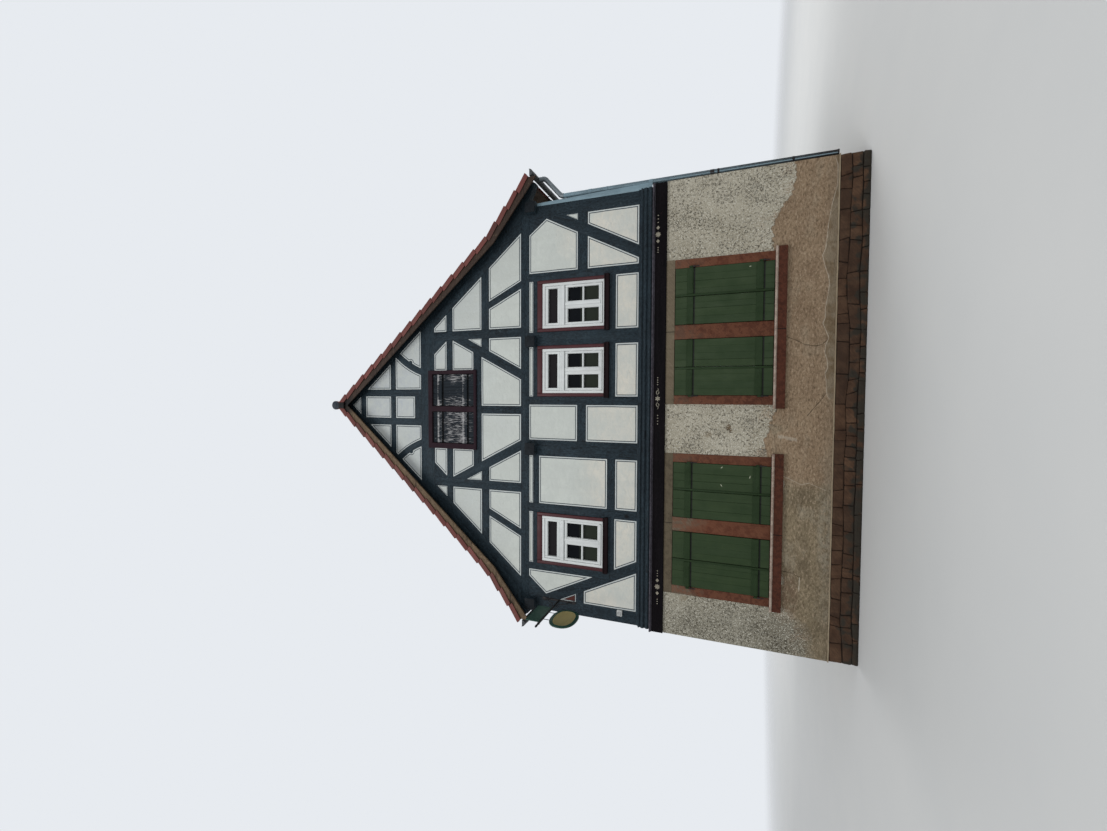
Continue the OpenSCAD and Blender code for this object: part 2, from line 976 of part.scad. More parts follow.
module gable_posts_cut(hatched) {
    intersection() {
        gable_posts_outline(hatched);
        under_slopes(gable_top, tie_beam[1] - 100);
    }
}

module gable_posts() {
    color(timber) {
        on_front(0, timber_t) gable_posts_cut(true);
        on_back(0, timber_t) gable_posts_cut(false);
    }
}

module gable_rails_cut(hatched) {
    difference() {
        intersection() {
            gable_rails_outline(hatched);
            under_slopes(gable_top, tie_beam[1] - 100);
        }
        gable_posts_outline(hatched);
        gable_braces_outline();
        gable_struts_outline();
        if (hatched)
            field(hatch[0], hatch[1], hatch[2], hatch[3]);
    }
}

module gable_rails() {
    color(timber) {
        on_front(0, timber_t) gable_rails_cut(true);
        on_back(0, timber_t) gable_rails_cut(false);
    }
}

module gable_braces_cut(hatched) {
    difference() {
        intersection() {
            gable_braces_outline();
            under_slopes(gable_top, tie_beam[1] - 100);
        }
        gable_posts_outline(hatched);
    }
}

module gable_braces() {
    color(timber) {
        on_front(0, timber_t) gable_braces_cut(true);
        on_back(0, timber_t) gable_braces_cut(false);
    }
}

module gable_struts() {
    color(timber) {
        on_front(0, timber_t) gable_struts_outline();
        on_back(0, timber_t) gable_struts_outline();
    }
}

module gable_infill_outline(hatched) {
    difference() {
        intersection() {
            under_slopes(gable_top, tie_beam[1] - 100);
            field(frame_x[0], frame_x[1], tie_beam[1], ridge_z);
        }
        gable_solid_outline(hatched);
        if (hatched)
            field(hatch[0], hatch[1], hatch[2], hatch[3]);
    }
}

module gable_infill() {
    color(plaster) {
        on_front(infill_back, infill_back + infill_t) gable_infill_outline(true);
        on_back(infill_back, infill_back + infill_t) gable_infill_outline(false);
    }
}

// Red frame around the two leaves of the loft hatch
module hatch_frame() {
    color(red_c)
        on_front(-40, 60)
            difference() {
                field(hatch[0], hatch[1], hatch[2], hatch[3]);
                field(-730, -70, 6835, 7835);
                field(40, 710, 6835, 7835);
            }
}

module hatch_leaves() {
    color([0.12, 0.12, 0.12])
        on_front(-14, 20) {
            field(-730, -70, 6835, 7835);
            field(40, 710, 6835, 7835);
        }
}

/* Roof. */

// Run at which the underside of a rafter meets the tie beam
function rafter_foot_u() = (main_z(0, rafter_low) - tie_beam[1]) / tan(pitch);

// Main rafter with its sprocket, cut level where it stands on the tie beam
module rafter_outline(s) {
    foot = tie_beam[1];
    end = eave_run[s] - 60;
    wall_u = s == 0 ? ridge_x - frame_x[0] : frame_x[1] - ridge_x;
    beam_u = wall_u + (s == 0 ? 0 : beam_lip);
    seat = cover_low + 0.5;
    tail = eave_z(s, end, seat);
    low = max(long_beam[1] + 3, tail + 20);
    polygon([
        [0, main_z(0, seat)],
        [kick_u(s, seat), main_z(kick_u(s, seat), seat)],
        [end, tail],
        [end, tail - 60],
        [beam_u + 4, low],
        [wall_u + 4, low],
        [wall_u + 4, foot],
        [rafter_foot_u(), foot],
        [0, main_z(0, rafter_low)]
    ]);
}

module rafters(s) {
    for (k = [0 : tie_count - 1])
        translate([0, front_y + timber_t + k * tie_step, 0])
            rotate([90, 0, 0])
                linear_extrude(timber_t) slope(s) rafter_outline(s);
}

module left_rafters() {
    color(timber) rafters(0);
}

module right_rafters() {
    color(timber) rafters(1);
}

// Ties between the rafters of each inner pair
module collar_beams() {
    color(wood_c)
        for (k = [1 : tie_count - 2])
            translate([0, front_y + timber_t + k * tie_step, 0])
                rotate([90, 0, 0])
                    linear_extrude(timber_t)
                        intersection() {
                            under_slopes(gable_top, collar[0]);
                            field(-4000, 4000, collar[0] + 140, collar[1]);
                        }
}

module roof_cover(s) {
    translate([0, back_y + verge, 0])
        rotate([90, 0, 0])
            linear_extrude(house_d + 2 * verge)
                slope(s) roof_band(s, cover_top, cover_low);
}

module left_roof() {
    color(tile_c) roof_cover(0);
}

module right_roof() {
    color(tile_c) roof_cover(1);
}

// Hollow ridge tiles that straddle the two slopes
module ridge_tiles() {
    color(tile_c)
        translate([0, back_y + verge + 10, 0])
            rotate([90, 0, 0])
                linear_extrude(house_d + 2 * verge + 20)
                    difference() {
                        translate([ridge_x, ridge_z]) circle(r = 92);
                        translate([ridge_x, ridge_z]) circle(r = 70);
                        under_slopes(cover_top - 1, ridge_z - 300);
                    }
}

// A thin rod with a ball on top, on the shoulder of a ridge tile
module lightning_rod() {
    x = ridge_x - 74;
    y = front_y + 240;
    color(iron_c)
        difference() {
            union() {
                translate([x, y, ridge_z + 30]) cylinder(r = 6, h = 300);
                translate([x, y, ridge_z + 330]) sphere(r = 14);
                translate([x, y, ridge_z + 20]) cylinder(r = 18, h = 50);
            }
            translate([ridge_x, y - 100, ridge_z])
                rotate([-90, 0, 0]) cylinder(r = 92.5, h = 200);
        }
}

// The verge board hangs from the covering and stops short of the gutter
module verge_outline() {
    for (s = [0, 1])
        slope(s) roof_band(s, cover_low + 0.5, 206, 45);
}

module verge_boards() {
    color([0.33, 0.22, 0.17]) {
        on_front(-verge + 12, -verge + 42) verge_outline();
        on_back(-verge + 12, -verge + 42) verge_outline();
    }
}

/* Metalwork. */

gutter_r = 62;

function gutter_x(s) = s == 0 ? ridge_x - eave_run[0] - 30 : ridge_x + eave_run[1] + 30;
function gutter_z(s) = eave_z(s, eave_run[s], cover_low) - 4;

module gutters() {
    color(zinc_c)
        for (s = [0, 1])
            translate([gutter_x(s), front_y - verge, gutter_z(s)])
                rotate([-90, 0, 0])
                    linear_extrude(house_d + 2 * verge)
                        difference() {
                            circle(r = gutter_r);
                            circle(r = gutter_r - 3);
                            translate([-100, -200]) square([200, 200]);
                        }
}

pipe_r = 44;
pipe_x = frame_x[1] + 158;
pipe_y = front_y + 110;
bend_r = 110;
bend_a = 48;
lap = 4;

// A bend of the pipe in the X Z plane, about its centre and from its start angle
module pipe_bend(centre, a0, sweep) {
    translate([centre[0], pipe_y, centre[1]])
        rotate([90, 0, 0])
            rotate([0, 0, a0])
                rotate_extrude(angle = sweep)
                    translate([bend_r, 0]) circle(r = pipe_r + 3);
}

// Zinc pipe with a swan neck from the right gutter back to the wall
module downpipe() {
    top = [gutter_x(1), gutter_z(1) - gutter_r - 60];
    side = 2 * bend_r * (1 - cos(bend_a));
    run = (top[0] - pipe_x - side) / sin(bend_a);
    c1 = [top[0] - bend_r, top[1]];
    p1 = c1 + bend_r * [cos(bend_a), -sin(bend_a)];
    p2 = p1 - run * [sin(bend_a), cos(bend_a)];
    c2 = p2 + bend_r * [cos(bend_a), -sin(bend_a)];
    color(zinc_c) {
        translate([top[0], pipe_y, top[1] - lap]) cylinder(r = pipe_r, h = 58 + lap);
        pipe_bend(c1, -bend_a, bend_a);
        translate([p2[0], pipe_y, p2[1]])
            rotate([0, bend_a, 0])
                translate([0, 0, -lap]) cylinder(r = pipe_r, h = run + 2 * lap);
        pipe_bend(c2, 180 - bend_a, bend_a);
        translate([pipe_x, pipe_y, plinth_h])
            cylinder(r = pipe_r, h = c2[1] + lap - plinth_h);
    }
}

// A sheet over the joint at the corner post, wider towards its foot
module corner_flashing() {
    low = sill_beam[0] + 20;
    high = long_beam[0] - 5;
    x = frame_x[1];
    color(zinc_c) {
        on_front(-8, -5)
            polygon([[x + 1, low], [x + 105, low], [x + 42, high], [x - 12, high],
                     [x - 12, sill_beam[1] + 2], [x + 1, sill_beam[1] + 2]]);
        on_front(-5, 60)
            field(x + 1, x + 4, low, high);
        on_front(-5, -1)
            field(x - 12, x + 4, sill_beam[1] + 2, high);
    }
}

sign_x = frame_x[0] + 225;

module sign_bracket() {
    color(iron_c) {
        translate([sign_x - 25, front_y - 10, 4640]) cube([50, 10, 680]);
        translate([sign_x - 12, front_y - 1140, 4960]) cube([24, 1130, 30]);
    }
}

// An oval of four arcs: half width a, half height b, and r at its ends
module oval(a, b, r) {
    off = a - r;
    side_r = (off * off + b * b - r * r) / (2 * (b - r));
    reach = off * side_r / (side_r - r);
    for (side = [-1, 1])
        translate([side * off, 0]) circle(r = r);
    intersection() {
        field(-reach, reach, -b, b);
        translate([0, b - side_r]) circle(r = side_r, $fn = 120);
        translate([0, side_r - b]) circle(r = side_r, $fn = 120);
    }
}

module sign_boards() {
    color(shutter_c) {
        translate([sign_x - 10, front_y - 960, 4992]) cube([20, 600, 260]);
        translate([sign_x - 10, front_y - 690, 4620])
            rotate([90, 0, 90])
                linear_extrude(20) oval(350, 240, 200);
    }
}

module junction_box() {
    color(white_c)
        translate([frame_x[0] + 135, front_y - 45, 3735]) cube([105, 45, 95]);
}

/* Pieces of the storeys and gables that share a name. */

module window_frames() {
    ground_window_frames();
    upper_window_frames();
}

module window_glass() {
    ground_window_glass();
    upper_window_glass();
}

module posts() {
    wall_posts();
    gable_posts();
}

module rails() {
    wall_rails();
    gable_rails();
}

module braces() {
    wall_braces();
    gable_braces();
}

module infill_panels() {
    wall_infill();
    gable_infill();
}

/* Drawing the pieces. */

plinth();
ground_floor();
front_wall();
side_walls();
back_wall();
stone_jambs();
stone_lintels();
stone_sills();
window_frames();
window_glass();
back_door();
door_steps();
shutter_pintles();
shutter_outer(1);  // shutter_1_outer
shutter_inner(1);  // shutter_1_inner
shutter_outer(2);  // shutter_2_outer
shutter_inner(2);  // shutter_2_inner
shutter_outer(3);  // shutter_3_outer
shutter_inner(3);  // shutter_3_inner
shutter_outer(4);  // shutter_4_outer
shutter_inner(4);  // shutter_4_inner
upper_floor();
jetty_board();
sill_beams();
posts();
rails();
braces();
infill_panels();
long_beams();
tie_beams();
attic_floor();
window_casings();
gable_struts();
hatch_frame();
hatch_leaves();
left_rafters();
right_rafters();
collar_beams();
left_roof();
right_roof();
ridge_tiles();
lightning_rod();
verge_boards();
gutters();
downpipe();
corner_flashing();
sign_bracket();
sign_boards();
junction_box();
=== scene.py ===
import json
import math
import random

import bmesh
import bpy
import numpy as np
from mathutils import Matrix, Vector, geometry, noise

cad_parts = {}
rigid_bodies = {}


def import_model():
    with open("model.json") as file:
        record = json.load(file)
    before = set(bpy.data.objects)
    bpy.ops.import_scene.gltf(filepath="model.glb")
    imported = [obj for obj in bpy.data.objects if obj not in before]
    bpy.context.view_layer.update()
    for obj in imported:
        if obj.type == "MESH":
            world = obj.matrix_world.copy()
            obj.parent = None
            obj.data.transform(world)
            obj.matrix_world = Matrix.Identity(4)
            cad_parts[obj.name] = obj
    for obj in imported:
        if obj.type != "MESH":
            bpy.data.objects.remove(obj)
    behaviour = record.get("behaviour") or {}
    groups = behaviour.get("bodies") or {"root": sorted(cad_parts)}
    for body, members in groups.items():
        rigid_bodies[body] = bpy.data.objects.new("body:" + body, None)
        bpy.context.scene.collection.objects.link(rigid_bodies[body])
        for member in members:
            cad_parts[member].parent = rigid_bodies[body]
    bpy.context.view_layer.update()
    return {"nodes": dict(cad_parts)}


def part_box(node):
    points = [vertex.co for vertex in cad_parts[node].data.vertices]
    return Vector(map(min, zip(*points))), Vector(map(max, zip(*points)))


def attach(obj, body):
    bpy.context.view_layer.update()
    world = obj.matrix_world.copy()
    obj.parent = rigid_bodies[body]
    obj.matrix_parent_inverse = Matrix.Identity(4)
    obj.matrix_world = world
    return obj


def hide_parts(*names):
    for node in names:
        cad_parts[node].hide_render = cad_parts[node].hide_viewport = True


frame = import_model()
nodes = frame["nodes"]
HOUSE = "house"
scene = bpy.context.scene
chance = np.random.default_rng(11)
noise.seed_set(11)

# Places of the frame that the pieces below share with the CAD part
FRONT, BACK = -4.8, 4.8
LEFT, RIGHT = -3.91, 3.875
WALL_X = 3.95
RIDGE_X, RIDGE_Z = 0.04, 10.26
PITCH, KICK_PITCH = math.radians(49.3), math.radians(38.5)
KICK_RUN = 3.3
EAVE_RUN = (4.15, 4.34)
SILL_TOP, LINTEL_Z = 1.285, 2.855
CLEAR_W, MULLION_W = 0.965, 0.24
PAIR_X = (-1.97, 1.355)
SIDE_WINDOW_Y = (-2.9, 0.0, 2.9)
BACK_WINDOW_X = (-2.5, 2.5)
CASING = (4.08, 5.43)
FRONT_BAYS = ((-3.0, -2.0), (0.25, 1.215), (1.48, 2.45))
SIDE_STEP = (9.6 - 0.49) / 8
SIDE_BAYS = (1, 3, 4, 6)
HATCH_BATTENS, HATCH_BATTEN_TALL = (6.995, 7.60), 0.105

# Handling of objects and edit mode


def choose(*pieces):
    """Leaves only these pieces selected, the first of them active."""
    if bpy.context.object and bpy.context.object.mode != "OBJECT":
        bpy.ops.object.mode_set(mode="OBJECT")
    for other in bpy.context.selected_objects:
        other.select_set(False)
    for piece in pieces:
        piece.select_set(True)
    bpy.context.view_layer.objects.active = pieces[0]


def begin(name):
    """A new empty piece at the origin, open in edit mode."""
    piece = bpy.data.objects.new(name, bpy.data.meshes.new(name))
    scene.collection.objects.link(piece)
    choose(piece)
    bpy.ops.object.mode_set(mode="EDIT")
    return piece


def done(piece, *finishes):
    """Closes edit mode on the piece, and gives it its first finishes."""
    bpy.ops.object.mode_set(mode="OBJECT")
    piece.data.update()
    for finish in finishes:
        piece.data.materials.append(finish)
    return piece


def select_none():
    bpy.ops.mesh.select_all(action="DESELECT")


def each(piece, kind="verts"):
    """The points or faces of an open piece in turn, to be changed by hand."""
    mesh = bmesh.from_edit_mesh(piece.data)
    yield from getattr(mesh, kind)
    bmesh.update_edit_mesh(piece.data)


def pick(piece, kind, test):
    """Selects the faces, edges or verts of an open piece that pass the test."""
    mesh = bmesh.from_edit_mesh(piece.data)
    for part in (*mesh.faces, *mesh.edges, *mesh.verts):
        part.select = False
    bpy.context.tool_settings.mesh_select_mode = [kind == k for k in ("verts", "edges", "faces")]
    for part in getattr(mesh, kind):
        if test(part):
            part.select_set(True)
    bmesh.update_edit_mesh(piece.data)


def apply(piece, kind, **values):
    """Adds a modifier with these values to the piece and applies it."""
    choose(piece)
    modifier = piece.modifiers.new(kind.title(), kind)
    for key, value in values.items():
        setattr(modifier, key, value)
    bpy.ops.object.modifier_apply(modifier=modifier.name)


def weld(piece, gap=1e-4):
    """Closes the seams of a piece and turns its faces outwards."""
    choose(piece)
    bpy.ops.object.mode_set(mode="EDIT")
    bpy.ops.mesh.select_all(action="SELECT")
    bpy.ops.mesh.remove_doubles(threshold=gap)
    bpy.ops.mesh.normals_make_consistent(inside=False)
    return done(piece)


def twin(piece, place, name=None):
    """A copy of the piece with its own mesh, moved in its mesh by a matrix."""
    copy = bpy.data.objects.new(name or piece.name, piece.data.copy())
    scene.collection.objects.link(copy)
    copy.data.transform(place)
    if place.determinant() < 0:
        copy.data.flip_normals()
    return copy


def joined(name, pieces):
    """Joins pieces into one, which takes the name."""
    choose(*pieces)
    if len(pieces) > 1:
        bpy.ops.object.join()
    pieces[0].name = pieces[0].data.name = name
    return pieces[0]


def drop(*pieces):
    """Takes away models that were only there to be copied."""
    for piece in pieces:
        bpy.data.meshes.remove(piece.data)


def settle(piece, finish, slot, *stands_for, body=HOUSE, smooth=30):
    """Gives a piece its finishes, its smooth shading and its place in the frame."""
    choose(piece)
    if smooth:
        bpy.ops.object.shade_smooth_by_angle(angle=math.radians(smooth))
    finishes = finish if isinstance(finish, (list, tuple)) else [finish]
    for k, material in enumerate(finishes):
        if k < len(piece.data.materials):
            piece.data.materials[k] = material
        else:
            piece.data.materials.append(material)
    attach(piece, body)
    if stands_for:
        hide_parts(*stands_for)
    return piece


def refinish(piece, number, test):
    """Gives the faces that pass the test another one of the piece's finishes."""
    for face in piece.data.polygons:
        if test(face):
            face.material_index = number
    return piece


# Shapes that many pieces start from


def board(low, high, ease=0.003, steps=1):
    """A cube brought to two corners in edit mode, with its edges eased."""
    select_none()
    low, high = Vector(low), Vector(high)
    bpy.ops.mesh.primitive_cube_add(size=1, location=(low + high) / 2, scale=high - low)
    bpy.ops.mesh.bevel(offset=ease, segments=steps, affect="EDGES")


def placed_board(piece, place, low, high, ease):
    """A board in edit mode that is drawn at the origin and moved by a matrix."""
    board(low, high, ease)
    for vert in each(piece):
        if vert.select:
            vert.co = place @ vert.co


def bar_round(foot, top, radius, ease, sides):
    """A round bar between two points in edit mode, with its rims eased."""
    select_none()
    foot, top = Vector(foot), Vector(top)
    run = top - foot
    bpy.ops.mesh.primitive_cylinder_add(
        vertices=sides, radius=radius, depth=run.length, location=(foot + top) / 2,
        rotation=run.to_track_quat("Z", "Y").to_euler())
    bpy.ops.mesh.bevel(offset=ease, segments=2, affect="EDGES")


def upright(x, y, low, high, radius, ease, sides):
    bar_round((x, y, low), (x, y, high), radius, ease, sides)


def dome(middle, radius, flat=0.5, facing=(0, -1, 0), rings=4, sides=8):
    """A nail head or knob in edit mode: a sphere pressed flat along one way."""
    select_none()
    bpy.ops.mesh.primitive_uv_sphere_add(
        segments=sides, ring_count=rings, radius=radius, location=middle,
        rotation=Vector(facing).to_track_quat("Z", "Y").to_euler(), scale=(1, 1, flat))


def islands(mesh):
    """The number of the loose part that each vertex belongs to."""
    count = len(mesh.vertices)
    ends = np.empty(len(mesh.edges) * 2, int)
    mesh.edges.foreach_get("vertices", ends)
    ends = ends.reshape(-1, 2)
    part = np.arange(count)
    while True:
        lower = part.copy()
        np.minimum.at(lower, ends[:, 0], part[ends[:, 1]])
        np.minimum.at(lower, ends[:, 1], part[ends[:, 0]])
        lower = lower[lower]
        if (lower == part).all():
            return np.unique(part, return_inverse=True)[1]
        part = lower


def places(mesh):
    """The vertices of a mesh as an array."""
    at = np.empty(len(mesh.vertices) * 3)
    mesh.vertices.foreach_get("co", at)
    return at.reshape(-1, 3)


def lay_grain(piece, way=None):
    """Writes how far each point lies along and across its own timber, as the
    attribute grain, and one chance value for each timber, as tint."""
    mesh = piece.data
    at, part = places(mesh), islands(mesh)
    grain = np.zeros_like(at)
    tint = np.zeros(len(at))
    order = np.argsort(part, kind="stable")
    cuts = np.searchsorted(part[order], np.arange(part.max() + 2))
    for k in range(part.max() + 1):
        mine = order[cuts[k]:cuts[k + 1]]
        spread = at[mine] - at[mine].mean(0)
        if way is None:
            axes = np.linalg.svd(spread, full_matrices=False)[2] if len(mine) > 2 else np.eye(3)
        else:
            axes = np.roll(np.eye(3), -way, axis=0)
        grain[mine] = at[mine] @ axes.T + chance.uniform(-50, 50, 3)
        tint[mine] = chance.random()
    mesh.attributes.new("grain", "FLOAT_VECTOR", "POINT").data.foreach_set("vector", grain.ravel())
    mesh.attributes.new("tint", "FLOAT", "POINT").data.foreach_set("value", tint)
    return piece


def welded(name, sources):
    """A copy of CAD nodes with closed seams and whole faces, open in edit mode."""
    copies = []
    for source in sources:
        copy = bpy.data.objects.new(name, nodes[source].data.copy())
        scene.collection.objects.link(copy)
        copies.append(copy)
    piece = joined(name, copies)
    piece.data.materials.clear()
    bpy.ops.mesh.customdata_custom_splitnormals_clear()
    for layer in list(piece.data.uv_layers):
        piece.data.uv_layers.remove(layer)
    bpy.ops.object.mode_set(mode="EDIT")
    bpy.ops.mesh.select_all(action="SELECT")
    bpy.ops.mesh.remove_doubles(threshold=1e-4)
    bpy.ops.mesh.dissolve_limited(angle_limit=math.radians(0.6))
    return piece


def eased(name, sources, ease, corner=35, shortest=0.02):
    """A copy of CAD nodes, welded, with whole faces and eased edges. The eased
    strips carry the attribute edge."""
    piece = welded(name, sources)
    limit = math.radians(corner)
    pick(piece, "edges", lambda e: e.is_manifold and e.calc_length() > shortest
         and e.calc_face_angle() > limit)
    bpy.ops.mesh.bevel(offset=ease, segments=2, profile=0.6, affect="EDGES", clamp_overlap=False)
    mesh = bmesh.from_edit_mesh(piece.data)
    strips = [f.select for f in mesh.faces]
    done(piece)
    edge = piece.data.attributes.new("edge", "FLOAT", "FACE")
    edge.data.foreach_set("value", np.array(strips, float))
    piece.data.polygons.foreach_set("material_index", np.zeros(len(strips), int))
    return piece

# Shader building. A colour is given by its usual values from 0 to 255.


def paint(red, green, blue):
    """The shader's own colour for the usual values."""
    def line(v):
        v /= 255
        return v / 12.92 if v <= 0.04045 else ((v + 0.055) / 1.055) ** 2.4
    return (line(red), line(green), line(blue), 1.0)


def feed(tree, socket, value):
    """Links a value into a socket, or sets the plain one."""
    if isinstance(value, Flow):
        tree.links.new(value.socket, socket)
    else:
        socket.default_value = value


def add(tree, kind, **given):
    """A shader node with its settings, values and links. Socket names take an
    underscore for each space."""
    made = tree.nodes.new("ShaderNode" + kind)
    for key, value in given.items():
        if hasattr(made, key):
            setattr(made, key, value)
        else:
            feed(tree, made.inputs[key.replace("_", " ")], value)
    return made


class Flow:
    """A value that a shader node gives, which can be reckoned with."""

    def __init__(self, node, key=0):
        self.tree, self.socket = node.id_data, node.outputs[key]

    def math(self, how, *others):
        return reckon(self.tree, how, self, *others)

    def __add__(self, other):
        return self.math("ADD", other)

    def __sub__(self, other):
        return self.math("SUBTRACT", other)

    def __rsub__(self, other):
        return reckon(self.tree, "SUBTRACT", other, self)

    def __mul__(self, other):
        return self.math("MULTIPLY", other)

    def __abs__(self):
        return self.math("ABSOLUTE")

    def either(self, other):
        """The higher one of two masks."""
        return self.math("MAXIMUM", other)

    def span(self, low, high, to_low=0.0, to_high=1.0, soft=False):
        """The value brought from one range to another and held there."""
        made = add(self.tree, "MapRange", interpolation_type="SMOOTHSTEP" if soft else "LINEAR")
        for socket, given in zip(made.inputs, (self, low, high, to_low, to_high)):
            feed(self.tree, socket, given)
        return Flow(made)

    def axes(self):
        """The X, Y and Z of a place."""
        made = add(self.tree, "SeparateXYZ", Vector=self)
        return [Flow(made, k) for k in range(3)]

    def length(self):
        made = add(self.tree, "VectorMath", operation="LENGTH")
        feed(self.tree, made.inputs[0], self)
        return Flow(made, "Value")


def reckon(tree, how, *values):
    made = add(tree, "Math", operation=how)
    for socket, value in zip(made.inputs, values):
        feed(tree, socket, value)
    return Flow(made)


def tones(mask, first, second):
    """Colour that goes from first to second as the mask goes from 0 to 1."""
    made = add(mask.tree, "Mix", data_type="RGBA")
    for socket, value in zip((0, 6, 7), (mask, first, second)):
        feed(mask.tree, made.inputs[socket], paint(*value) if isinstance(value, tuple) else value)
    return Flow(made, 2)


def layers(tone, *coats):
    """A colour with others laid over it, each one where its mask shows."""
    for mask, colour in coats:
        tone = tones(mask, tone, colour)
    return tone


def here(tree):
    """Object coordinates, in metres."""
    return Flow(add(tree, "TexCoord"), "Object")


def cloud(at, scale, detail=3.0, rough=0.5, warp=0.0):
    return Flow(add(at.tree, "TexNoise", Vector=at, Scale=scale, Detail=detail,
                    Roughness=rough, Distortion=warp))


def moved(at, scale=(1, 1, 1), turn=(0, 0, 0), shift=(0, 0, 0)):
    return Flow(add(at.tree, "Mapping", Vector=at, Scale=scale, Rotation=turn, Location=shift))


def drawn(along, points):
    """The height, at each place along, of a line through measured points."""
    line = add(along.tree, "FloatCurve", Factor=1.0)
    curve = line.mapping.curves[0]
    (first, last), heights = (points[0][0], points[-1][0]), [h for _, h in points]
    low, tall = min(heights) - 0.01, max(heights) - min(heights) + 0.02
    while len(curve.points) < len(points):
        curve.points.new(0.5, 0.5)
    for point, (place, height) in zip(curve.points, points):
        point.location = ((place - first) / (last - first), (height - low) / tall)
        point.handle_type = "VECTOR"
    line.mapping.update()
    feed(along.tree, line.inputs["Value"], along.span(first, last))
    return Flow(line) * tall + low


def thin_mark(along, across, points, width):
    """A mask on a thin line through measured points, between its two ends."""
    first, last = points[0][0], points[-1][0]
    off = abs(across - drawn(along, points))
    thick = cloud(here(along.tree), 16.0, 2.0).span(0.35, 0.65, width * 0.35, width)
    line = off.math("DIVIDE", thick).span(0.7, 1.3, 1.0, 0.0)
    return line * along.math("COMPARE", (first + last) / 2, (last - first) / 2)


def round_mark(at, x, z, wide, tall, turn=0.0, low=0.8, high=1.2):
    """A mask on a round or long spot at a measured place of the street front."""
    spot = add(at.tree, "Mapping", vector_type="TEXTURE", Vector=at, Location=(x, 0, z),
               Rotation=(0, turn, 0), Scale=(wide, 1000, tall))
    return Flow(spot).length().span(low, high, 1.0, 0.0)


# Effects that several finishes share

ANYWHERE = (0.0, 0.0, 0.0)


def effect(build, **takes):
    """A shader group of masks, named like the function that fills it."""
    tree = bpy.data.node_groups.new(build.__name__, "ShaderNodeTree")
    for label, value in takes.items():
        kind = "NodeSocketVector" if isinstance(value, tuple) else "NodeSocketFloat"
        tree.interface.new_socket(name=label, in_out="INPUT", socket_type=kind).default_value = value
    given = tree.nodes.new("NodeGroupInput")
    masks = build(*[Flow(given, label) for label in takes])
    for label in masks:
        tree.interface.new_socket(name=label, in_out="OUTPUT", socket_type="NodeSocketFloat")
    out = tree.nodes.new("NodeGroupOutput")
    for label, mask in masks.items():
        feed(tree, out.inputs[label], mask)
    return tree


def blotches(place, size):
    """Soft patches, and run marks that hang down from them."""
    scale = reckon(place.tree, "DIVIDE", 1.0, size)
    wide = cloud(place, scale, 4.0, 0.6)
    runs = cloud(moved(place, (5.0, 5.0, 0.45)), scale, 5.0, 0.65)
    return {"Patches": wide.span(0.35, 0.68), "Runs": runs.span(0.48, 0.72)}


def fibres(grain, fineness):
    """Wood fibres, drying cracks and a few knots along the grain attribute."""
    fine = cloud(moved(grain, (0.9, 16.0, 16.0)), fineness, 6.0, 0.6, 0.4)
    bands = cloud(moved(grain, (0.7, 9.0, 9.0)), fineness, 2.0, 0.4, 0.6)
    where = cloud(moved(grain, (1.1, 5.0, 5.0)), fineness, 1.0)
    line = abs(bands - 0.5).span(0.0, 0.012, 1.0, 0.0)
    spots = Flow(add(grain.tree, "TexVoronoi", Vector=moved(grain, (1.6, 5.5, 5.5)),
                     Scale=fineness, Randomness=1.0), "Distance")
    return {"Fibre": fine.span(0.3, 0.7), "Cracks": line * where.span(0.5, 0.6),
            "Knots": spots.span(0.07, 0.16, 1.0, 0.0, True)}


def edge_wear(edge, place, amount):
    """A mask on the eased edges of a piece, broken up as paint wears off."""
    limit = 0.75 - amount * 0.35
    return {"Worn": cloud(place, 14.0, 4.0, 0.7).span(limit, limit + 0.06) * edge}


def roughcast(place):
    """Scraped render: grains thrown on, with short curved pits torn in."""
    bent = add(place.tree, "TexNoise", Vector=place, Scale=13.0, Detail=2.0)
    off = add(place.tree, "VectorMath", operation="SCALE", Scale=0.07)
    curled = add(place.tree, "VectorMath", operation="ADD")
    for node, socket, value in ((off, 0, Flow(bent, "Color")), (curled, 0, place), (curled, 1, Flow(off))):
        feed(place.tree, node.inputs[socket], value)
    worm = abs(cloud(Flow(curled), 40.0, 2.0, 0.6) - 0.5).span(0.014, 0.050, 1.0, 0.0, True)
    dense = cloud(place, 2.3, 3.0, 0.6).span(0.38, 0.64, 0.08, -0.07)
    patch = cloud(place, 25.0, 2.0, 0.6).span(dense + 0.50, dense + 0.57)
    return {"Pits": worm * patch, "Grain": cloud(place, 75.0, 3.0, 0.7),
            "Pale": cloud(place, 56.0, 2.0, 0.6).span(0.54, 0.64)}


def speckle(place, scale):
    """Fine grains of a stone or a fired clay, light and dark."""
    grains = cloud(place, scale, 3.0, 0.8)
    return {"Light": grains.span(0.56, 0.72), "Dark": grains.span(0.44, 0.28)}


def tooled(place):
    """Slanting chisel strokes on a dressed stone."""
    slant = moved(place, (1, 1, 1), (0.0, math.radians(38), 0.0))
    return {"Strokes": cloud(moved(slant, (6.0, 6.0, 60.0)), 1.0, 2.0).span(0.38, 0.62)}


BLOTCHES = effect(blotches, Place=ANYWHERE, Size=1.0)
FIBRES = effect(fibres, Grain=ANYWHERE, Fineness=1.0)
EDGE_WEAR = effect(edge_wear, Edge=0.0, Place=ANYWHERE, Amount=0.5)
ROUGHCAST = effect(roughcast, Place=ANYWHERE)
SPECKLE = effect(speckle, Place=ANYWHERE, Scale=200.0)
TOOLED = effect(tooled, Place=ANYWHERE)


